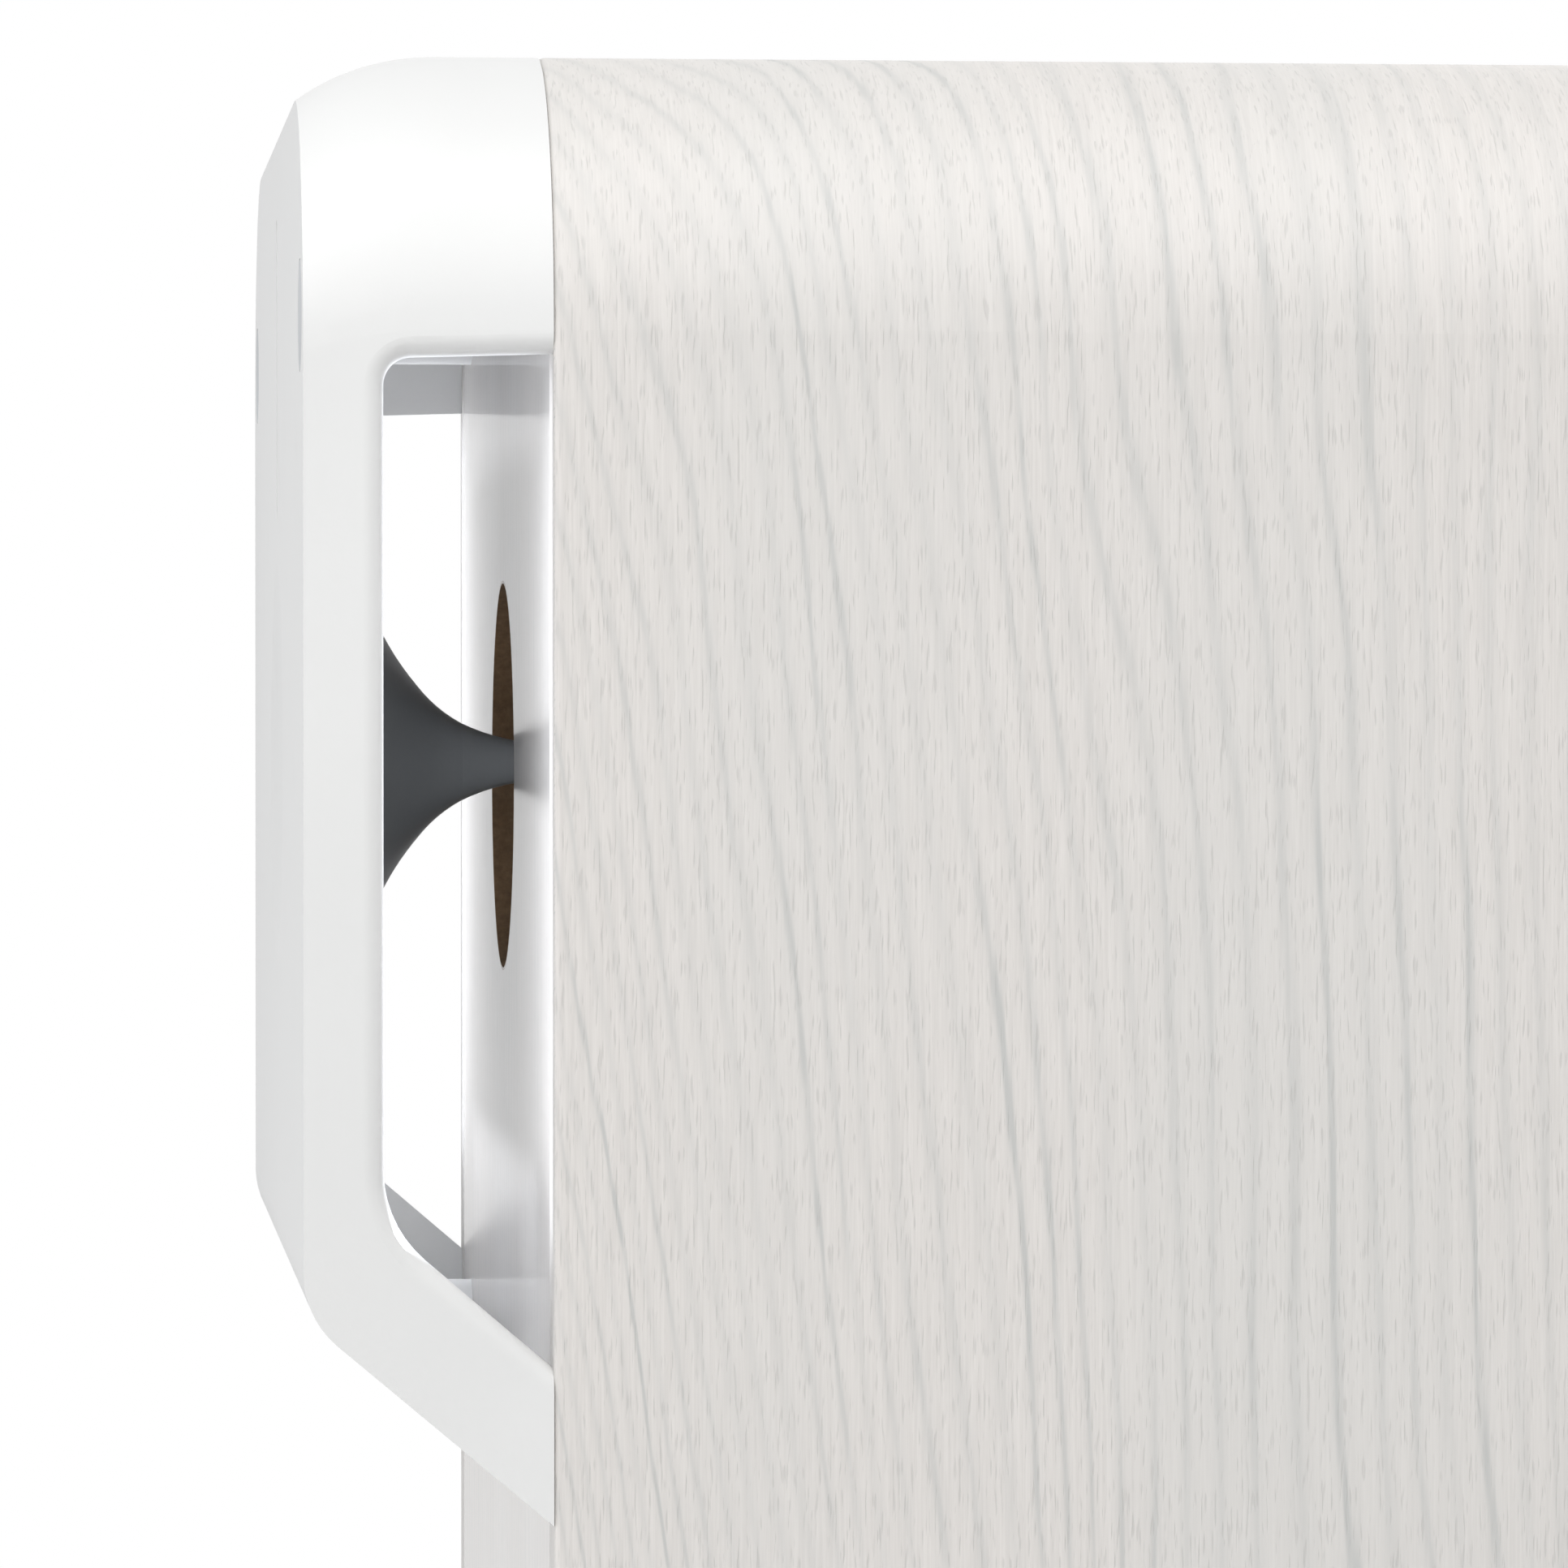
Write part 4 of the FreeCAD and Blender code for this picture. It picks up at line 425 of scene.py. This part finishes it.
def make_finishes():
    """The material of every CAD node, by name."""
    board = bare_board()
    steel = screw_metal("zinc_screws", (176, 178, 176))
    dark_steel = screw_metal("black_screws", (30, 30, 32))
    rubber = moulded("black_rubber", (26, 26, 27), 0.72, 0.12, 900.0, 0.05, 0.12)
    black = moulded("black_plastic", (28, 28, 30), 0.48, 0.10, 1300.0, 0.04, 0.15)
    gold = turned_metal("gold_metal", (226, 176, 92), TWEETER_Z, 0.18, 0.12)
    woofer_plate = turned_metal("woofer_plated_steel", (178, 180, 176), WOOFER_Z, 0.3)
    tweeter_plate = turned_metal("tweeter_plated_steel", (178, 180, 176), TWEETER_Z, 0.3)
    ferrite = moulded("ferrite", (52, 52, 54), 0.55, 0.16, 700.0, 0.06, 0.2)
    plated = turned_metal("magnet_plating", (206, 206, 204), None, 0.18, 0.2)
    red = moulded("red_plastic", (150, 20, 22), 0.32, 0.08, 1500.0, 0.012, 0.12, Coat_Weight=0.3)
    tin = turned_metal("tinned_steel", (196, 194, 188), None, 0.36, 0.35)
    cable = jacket("cable_jacket", (34, 34, 38))
    wire = copper_wire()
    paper = paper_cone()
    return {
        "cabinet_wrap": wrap_vinyl(), "rear_panel": panel_vinyl(),
        "front_baffle": board, "window_brace": board,
        "front_fascia": moulded("fascia_white", (222, 220, 216), 0.42, 0.008, 1100.0, 0.02, 0.08),
        "port_hood": moulded("hood_white", (226, 226, 225), 0.42, 0.012, 1600.0, 0.012, 0.05),
        "diffuser_cone": cone_painted_shade(),
        "port_tube": moulded("black_tube", (24, 24, 25), 0.5, 0.14, 500.0, 0.05, 0.2),
        "rubber_feet": rubber, "terminal_gasket": rubber,
        "wall_bumpers": moulded("grey_rubber", (206, 208, 210), 0.7, 0.06, 900.0, 0.04, 0.1),
        "threaded_insert": turned_metal("brass_insert", (202, 158, 84), None, 0.28, 0.25),
        "terminal_plate": moulded("terminal_plastic", (25, 25, 27), 0.5, 0.10, 1700.0, 0.07, 0.12),
        "post_collar_black": black, "post_knob_black": black, "post_collar_red": red,
        "post_knob_red": red, "post_stud_black": gold, "post_stud_red": gold,
        "clamp_washer_black": gold, "clamp_washer_red": gold,
        "post_nuts": tin, "solder_lugs": tin, "driver_tabs": tin,
        "crossover_board": circuit_board(),
        "board_standoffs": moulded("nylon", (214, 212, 204), 0.5, 0.04, 900.0, 0.02, 0.1),
        "inductor_bobbins": moulded("bobbin_plastic", (36, 36, 38), 0.5, 0.1, 900.0, 0.03, 0.1),
        "inductor_windings": wire, "voice_coil": wire, "tweeter_coil": wire,
        "film_capacitors": moulded("film_cap", (190, 150, 44), 0.3, 0.06, 600.0, 0.03, 0.1,
                                   Coat_Weight=0.5),
        "electrolytic_capacitor": moulded("lytic_sleeve", (24, 34, 60), 0.28, 0.08, 500.0, 0.02,
                                          0.1, Coat_Weight=0.5),
        "resistors": cast_cement(),
        "terminal_cable": cable, "woofer_cable": cable, "tweeter_cable": cable,
        "woofer_basket": moulded("basket_steel", (30, 31, 33), 0.4, 0.1, 800.0, 0.04, 0.12),
        "woofer_top_plate": woofer_plate, "woofer_yoke": woofer_plate,
        "tweeter_top_plate": tweeter_plate, "tweeter_yoke": tweeter_plate,
        "woofer_magnet": ferrite, "tweeter_magnet": ferrite,
        "woofer_cone": paper, "woofer_dust_cap": paper,
        "tweeter_faceplate": moulded("faceplate_plastic", (30, 30, 32), 0.42, 0.1, 1500.0, 0.03,
                                     0.1),
        "tweeter_dome": woven("silk_dome", (44, 43, 46), (12, 12, 14), 0.00042, height=0.04,
                              rough=0.6, sheen=0.5),
        "grille_frame": moulded("grille_plastic", (32, 32, 34), 0.5, 0.1, 1000.0, 0.04, 0.12),
        "grille_magnets": plated, "steel_keepers": plated,
        "panel_screws": dark_steel, "hood_screws": steel, "board_screws": steel,
    }


def dress_nodes():
    """Give every CAD node its finish, in every material slot it has."""
    for node, material in make_finishes().items():
        for held in bpy.data.objects[node].material_slots:
            held.material = material


# ---------------------------------------------------------------- pieces

def new_piece(name, points, faces, material, normals=None):
    """A mesh object in the scene, declared with its material slot."""
    mesh = bpy.data.meshes.new(name)
    mesh.from_pydata([tuple(p) for p in points], [], faces)
    mesh.shade_smooth()
    if normals:
        mesh.normals_split_custom_set_from_vertices([tuple(n) for n in normals])
    mesh.materials.append(material)
    piece = bpy.data.objects.new(name, mesh)
    bpy.context.scene.collection.objects.link(piece)
    return piece


def roll_path(centre, radius, seat, lips, steps=18):
    """Half-roll with flat lips: (radius from axis, depth) points and their front normals."""
    inner, outer = lips
    path = [((inner, seat), (0.0, -1.0)), ((centre - radius, seat), (0.0, -1.0))]
    for i in range(1, steps):
        turn = math.pi * i / steps
        out = (-math.cos(turn), -math.sin(turn))
        path.append(((centre + radius * out[0], seat + radius * out[1]), out))
    path += [((centre + radius, seat), (0.0, -1.0)), ((outer, seat), (0.0, -1.0))]
    return path


def wave_path(knots, depth, swing, lips, steps=8):
    """Corrugated disc: a sine of the given swing between the knots, flat beyond them."""
    inner, outer = lips
    path = [((inner, depth), (0.0, -1.0))]
    for i in range(len(knots) - 1):
        width = knots[i + 1] - knots[i]
        sign = -1 if i % 2 else 1
        for j in range(steps):
            share = math.pi * j / steps
            slope = -sign * swing * math.pi / width * math.cos(share)
            size = math.hypot(1.0, slope)
            path.append(((knots[i] + width * j / steps, depth - sign * swing * math.sin(share)),
                         (slope / size, -1.0 / size)))
    path += [((knots[-1], depth), (0.0, -1.0)), ((outer, depth), (0.0, -1.0))]
    return path


def sector(name, path, skin, axis_z, middle, half, material, steps=6):
    """One sector of a turned sheet about a driver's axis, closed, with true normals."""
    points, normals, faces = [], [], []
    row = len(path)
    for sheet in (0, 1):
        for i in range(steps + 1):
            angle = middle - half + 2 * half * i / steps
            ray = Vector((math.cos(angle), 0.0, math.sin(angle)))
            for (radius, depth), (nr, nd) in path:
                r, d = radius - nr * skin * sheet, depth - nd * skin * sheet
                points.append(ray * r * MM + Vector((0.0, FASCIA_Y + d * MM, axis_z)))
                facing = (ray * nr + Vector((0.0, nd, 0.0))) * (-1 if sheet else 1)
                normals.append(facing.normalized())
    back = (steps + 1) * row
    for i in range(steps):
        for j in range(row - 1):
            a, b = i * row + j, (i + 1) * row + j
            faces.append((a, a + 1, b + 1, b))
            faces.append((back + a, back + b, back + b + 1, back + a + 1))
        for j in (0, row - 1):
            a, b = i * row + j, (i + 1) * row + j
            quad = (a, b, back + b, back + a)
            faces.append(quad if j == 0 else quad[::-1])
    for i in (0, steps):
        for j in range(row - 1):
            a = i * row + j
            quad = (a, back + a, back + a + 1, a + 1)
            faces.append(quad if i == 0 else quad[::-1])
    return new_piece(name, points, faces, material, normals)


def ring_of_sectors(name, node, path, skin, axis_z, material, count=16):
    """Sectors all round, each along its own ray, in place of the CAD part."""
    half = math.pi / count
    for i in range(count):
        middle = math.tau * i / count
        piece = sector("%s_%02d" % (name, i), path, skin, axis_z, middle, half, material)
        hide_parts(node)
        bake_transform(piece)


def soft_rings():
    """Woofer surround, woofer spider and tweeter roll, in place of their CAD solids."""
    rubber = moulded("surround_rubber", (26, 26, 28), 0.5, 0.08, 1600.0, 0.02, 0.1)
    spider = woven("spider_cloth", (196, 160, 92), (120, 92, 44), 0.0007, height=0.10)
    silk = woven("surround_silk", (42, 41, 44), (12, 12, 13), 0.0004, height=0.03, rough=0.6)
    ring_of_sectors("surround", "woofer_surround",
                    roll_path(55.6, 4.5, 1.3, (48.1, 66.8)), 0.6, WOOFER_Z,
                    rubber)
    ring_of_sectors("spider", "woofer_spider",
                    wave_path((13.3, 16, 20, 24, 28, 32), 29.5, 1.1, (13.02, 41)), 0.5, WOOFER_Z,
                    spider)
    ring_of_sectors("silk_roll", "tweeter_surround",
                    roll_path(14.2, 1.35, 5.62, (12.55, 19.8), 12), 0.3, TWEETER_Z,
                    silk)


def rounded_loop(width, height, radius, steps=10):
    """Points of a rounded rectangle about the origin, counter-clockwise, with outward normals."""
    loop = []
    for quarter, (sx, sz) in enumerate(((1, 1), (-1, 1), (-1, -1), (1, -1))):
        cx, cz = sx * (width / 2 - radius), sz * (height / 2 - radius)
        for i in range(steps + 1):
            turn = math.pi / 2 * (quarter + i / steps)
            loop.append(((cx + radius * math.cos(turn), cz + radius * math.sin(turn)),
                         (math.cos(turn), math.sin(turn))))
    return loop


def knit_cloth():
    """Speaker knit: open stitches on the front, their holes painted near-black as shade, in rows
    along the height.
    """
    s = Shader("knit_cloth", Sheen_Weight=0.35, Sheen_Roughness=0.5)
    x, y, z = s.split()
    side = s.math("ADD", x, y)
    stagger = s.math("MULTIPLY", s.math("FLOOR", s.math("DIVIDE", z, STITCH)), 0.5)
    column = s.math("FRACT", s.math("ADD", s.math("DIVIDE", side, STITCH), stagger))
    row = s.math("FRACT", s.math("DIVIDE", z, STITCH))
    off = s.vector("SUBTRACT", s.join(column, row, 0.0), (0.5, 0.5, 0.0))
    hole = s.span(s.vector("LENGTH", off), 0.17, 0.34, 1.0, 0.0)
    fuzz = s.noise(2600.0, 3.0, 0.7)
    slub = s.noise(1.0, 3.0, 0.6, s.scaled(60.0, 60.0, 9.0))
    yarn = s.mix(fuzz, linear((62, 64, 68)), linear((104, 106, 110)))
    yarn = s.mix(s.math("MULTIPLY", slub, 0.35), yarn, linear((74, 76, 80)))
    # painted shade: the stitch holes are darkened to near-black
    tint = s.mix(s.math("MULTIPLY", hole, 0.92), yarn, linear((16, 16, 18)))
    lift = s.math("SUBTRACT", s.math("MULTIPLY", fuzz, 0.3), hole)
    return s.paint(tint, s.span(fuzz, 0.2, 0.8, 0.72, 0.9), lift, 0.25)


def cloth_rings(front, back, bend):
    """Rings of the cloth from its middle to its rear edge: how far in, at what depth, how turned."""
    rings = [("scale", share, front, 0.0) for share in (0.0, 0.25, 0.5, 0.72, 0.88, 0.96)]
    for i in range(7):
        turn = math.pi / 2 * i / 6
        rings.append(("edge", bend * (1 - math.sin(turn)), front + bend * (1 - math.cos(turn)), turn))
    return rings + [("edge", 0.0, front + (back - front) * t, math.pi / 2) for t in (0.4, 0.7, 1.0)]


def cloth_point(ring, place, bend, inset):
    """Where one ring meets one place of the outline; inset is the depth below the outer sheet."""
    kind, amount, y, turn = ring
    (x, z), (nx, nz) = place
    if kind == "scale":
        px, pz = (x - nx * bend) * amount, (z - nz * bend) * amount
    else:
        px, pz = x - nx * amount, z - nz * amount
    return (px - nx * math.sin(turn) * inset, y + math.cos(turn) * inset,
            pz - nz * math.sin(turn) * inset)


def cloth_faces(ring_count, count):
    """Faces of two sheets of rings joined at their last ring, the back one wound the other way."""
    faces = []
    back_at = ring_count * count
    for r in range(ring_count - 1):
        for i in range(count):
            j = (i + 1) % count
            a, b, c, d = r * count + i, r * count + j, (r + 1) * count + j, (r + 1) * count + i
            faces.append((a, b, c, d)[::-1])
            faces.append((back_at + a, back_at + b, back_at + c, back_at + d))
    last = (ring_count - 1) * count
    for i in range(count):
        j = (i + 1) % count
        faces.append((last + i, last + j, back_at + last + j, back_at + last + i)[::-1])
    return faces


def stretched_cloth():
    """Knit cloth pulled over the grille frame's front and wrapped round its edges."""
    low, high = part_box("grille_cloth")
    middle_z = (low[2] + high[2]) / 2
    width, height = high[0] - low[0], high[2] - low[2]
    front, back, skin, bend, radius = low[1], high[1], 0.0005, 0.0012, 0.0285
    loop = rounded_loop(width, height, radius)
    rings = cloth_rings(front, back, bend)
    flat = [cloth_point(ring, place, bend, skin * sheet)
            for sheet in (0, 1) for ring in rings for place in loop]
    points = [(x, y, middle_z + z) for x, y, z in flat]
    piece = new_piece("stretched_cloth", points, cloth_faces(len(rings), len(loop)), knit_cloth())
    weld(piece)
    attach(piece, "grille")
    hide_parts("grille_cloth")


def weld(piece):
    """Join coinciding points and turn every face outwards."""
    work = bmesh.new()
    work.from_mesh(piece.data)
    bmesh.ops.remove_doubles(work, verts=work.verts, dist=1e-7)
    bmesh.ops.dissolve_degenerate(work, edges=work.edges, dist=1e-8)
    bmesh.ops.recalc_face_normals(work, faces=work.faces)
    work.to_mesh(piece.data)
    work.free()


def fluffy_pad(name, low, high, flat_axis, flat_side, material, seed):
    """Wadding pad: crowned on its free side, soft rounded rim, lumpy surface."""
    size = [high[i] - low[i] for i in range(3)]
    u, v = [i for i in range(3) if i != flat_axis]
    nu = nv = 44
    wall = low[flat_axis] if flat_side < 0 else high[flat_axis]
    points, faces = [], []
    for sheet in (0, 1):
        for i in range(nu + 1):
            for j in range(nv + 1):
                a, b = i / nu * 2 - 1, j / nv * 2 - 1
                rim = (1 - abs(a) ** 7) * (1 - abs(b) ** 7)
                lump = noise.fractal(Vector((a * 5 + seed, b * 5, seed)), 1.0, 2.0, 3)
                full = max(0.0, rim) ** 0.45
                depth = (0.86 + 0.13 * max(-1.0, min(1.0, lump))) * full
                edge = 0.985 + 0.012 * noise.noise(Vector((a * 9, b * 9, seed + 4)))
                spot = [0.0, 0.0, 0.0]
                spot[u] = (low[u] + high[u]) / 2 + a * edge * size[u] / 2
                spot[v] = (low[v] + high[v]) / 2 + b * edge * size[v] / 2
                rise = depth + 0.02 if sheet else 0.03 * (1 - full)
                rise = max(0.0, min(1.0, rise))
                spot[flat_axis] = wall - flat_side * rise * size[flat_axis]
                points.append(spot)
    row, back = nv + 1, (nu + 1) * (nv + 1)
    for i in range(nu):
        for j in range(nv):
            a = i * row + j
            faces.append((a, a + row, a + row + 1, a + 1))
            faces.append((back + a, back + a + 1, back + a + row + 1, back + a + row))
    rim_line = ([i * row for i in range(nu + 1)] + [nu * row + j for j in range(1, nv + 1)]
                + [i * row + nv for i in range(nu - 1, -1, -1)] + list(range(nv - 1, 0, -1)))
    for k, a in enumerate(rim_line):
        b = rim_line[(k + 1) % len(rim_line)]
        faces.append((a, b, back + b, back + a))
    piece = new_piece(name, points, faces, material)
    weld(piece)
    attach(piece, "cabinet")
    return piece


def wadding_pads():
    """Pads on both side walls and under the top, in place of the CAD lining."""
    fill = wadding()
    low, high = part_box("lining_sides")
    outer, thickness = high[0], 0.008
    inner = outer - thickness
    for name, side, seed, span in (("wadding_left", -1, 1.3, (-outer, -inner)),
                                   ("wadding_right", 1, 7.9, (inner, outer))):
        piece = fluffy_pad(name, (span[0], low[1], low[2]), (span[1], high[1], high[2]), 0, side,
                           fill, seed)
        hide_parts("lining_sides")
    low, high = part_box("lining_top")
    piece = fluffy_pad("wadding_top", low, high, 2, 1, fill, 3.7)
    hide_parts("lining_top")


# ---------------------------------------------------------------- camera, light and floor

def add_camera():
    """Long lens beside the upper rear corner, level and turned slightly forward."""
    camera = bpy.data.objects.new("camera", bpy.data.cameras.new("camera"))
    camera.data.lens, camera.data.sensor_width = 185.6, 36.0
    camera.data.clip_start = 0.01
    yaw, pitch = math.radians(5.26), math.radians(-0.66)
    heading = Vector((math.cos(yaw) * math.cos(pitch), -math.sin(yaw) * math.cos(pitch),
                      math.sin(pitch)))
    camera.location = (-0.946, 0.1566, 0.248)
    camera.rotation_euler = heading.to_track_quat("-Z", "Y").to_euler()
    bpy.context.scene.collection.objects.link(camera)
    bpy.context.scene.camera = camera


def add_light(name, at, to, size, power, colour=(1, 1, 1)):
    """A rectangular soft light aimed at a point."""
    data = bpy.data.lights.new(name, "AREA")
    data.shape, data.size, data.size_y = "RECTANGLE", size[0], size[1]
    data.energy, data.color = power, colour
    lamp = bpy.data.objects.new(name, data)
    lamp.location = at
    lamp.rotation_euler = (Vector(to) - Vector(at)).to_track_quat("-Z", "Y").to_euler()
    bpy.context.scene.collection.objects.link(lamp)
    return lamp


def add_world(strength):
    """White where it is seen or mirrored, dimmer as a light."""
    world = bpy.data.worlds.new("studio")
    bpy.context.scene.world = world
    world.use_nodes = True
    tree = world.node_tree
    seen = tree.nodes["Background"]
    seen.inputs["Color"].default_value = (1, 1, 1, 1)
    lit = tree.nodes.new("ShaderNodeBackground")
    lit.inputs["Color"].default_value = (0.97, 0.985, 1.0, 1)
    lit.inputs["Strength"].default_value = strength
    path = tree.nodes.new("ShaderNodeLightPath")
    blend = tree.nodes.new("ShaderNodeMixShader")
    tree.links.new(path.outputs["Is Diffuse Ray"], blend.inputs[0])
    tree.links.new(seen.outputs[0], blend.inputs[1])
    tree.links.new(lit.outputs[0], blend.inputs[2])
    tree.links.new(blend.outputs[0], tree.nodes["World Output"].inputs["Surface"])


def add_floor():
    """Pale matt floor, 1.5 m square."""
    s = Shader("floor", Specular_IOR_Level=0.2)
    cloud = s.noise(3.0, 2.0)
    material = s.paint(s.mix(cloud, linear((228, 228, 228)), linear((236, 236, 236))),
                       s.span(cloud, 0.2, 0.8, 0.7, 0.8))
    half = 0.75
    mesh = bpy.data.meshes.new("floor")
    mesh.from_pydata([(-half, -half, 0), (half, -half, 0), (half, half, 0), (-half, half, 0)], [],
                     [(0, 1, 2, 3)])
    mesh.materials.append(material)
    floor = bpy.data.objects.new("floor", mesh)
    bpy.context.scene.collection.objects.link(floor)


def fill_gap():
    """Weak lights inside the hood that neither the camera nor a reflection shows."""
    lamps = []
    for name, z, lit_z, power in (("gap_low", 0.194, 0.178, 0.007),
                                  ("gap_high", 0.276, 0.290, 0.0035)):
        lamps.append(add_light(name, (0, 0.1105, z), (0, 0.1035, lit_z), (0.13, 0.004), power,
                               GAP_TINT))
    for name, x in (("gap_near", -0.0945), ("gap_far", 0.0945)):
        strip = add_light(name, (x, 0.112, 0.2355), (0, 0.112, 0.2355), (0.015, 0.093), 0.023,
                          GAP_TINT)
        strip.data.spread = math.radians(150)
        lamps.append(strip)
    for lamp in lamps:
        lamp.visible_camera = lamp.visible_glossy = False


def set_stage():
    """Camera, studio light and floor."""
    add_camera()
    add_world(0.25)
    add_light("key", (-1.1, 0.5, 0.30), (0, 0.1, 0.23), (0.8, 0.8), 2.0)
    add_light("overhead", (-0.6, 0.1, 1.0), (0, 0.02, 0.3), (1.0, 1.0), 8.5)
    add_light("behind", (-0.25, 1.6, 0.5), (0, 0.1, 0.2), (1.2, 1.2), 7.6, (0.97, 0.98, 1.0))
    add_light("front", (0.5, -1.6, 0.8), (0, -0.1, 0.15), (1.2, 1.2), 9.0)
    add_light("right_fill", (1.4, -0.9, 0.7), (0, 0, 0.15), (1.0, 1.0), 7.0)
    fill_gap()
    add_floor()
    bpy.context.scene.view_settings.view_transform = "Standard"


set_stage()
dress_nodes()
soft_rings()
stretched_cloth()
wadding_pads()
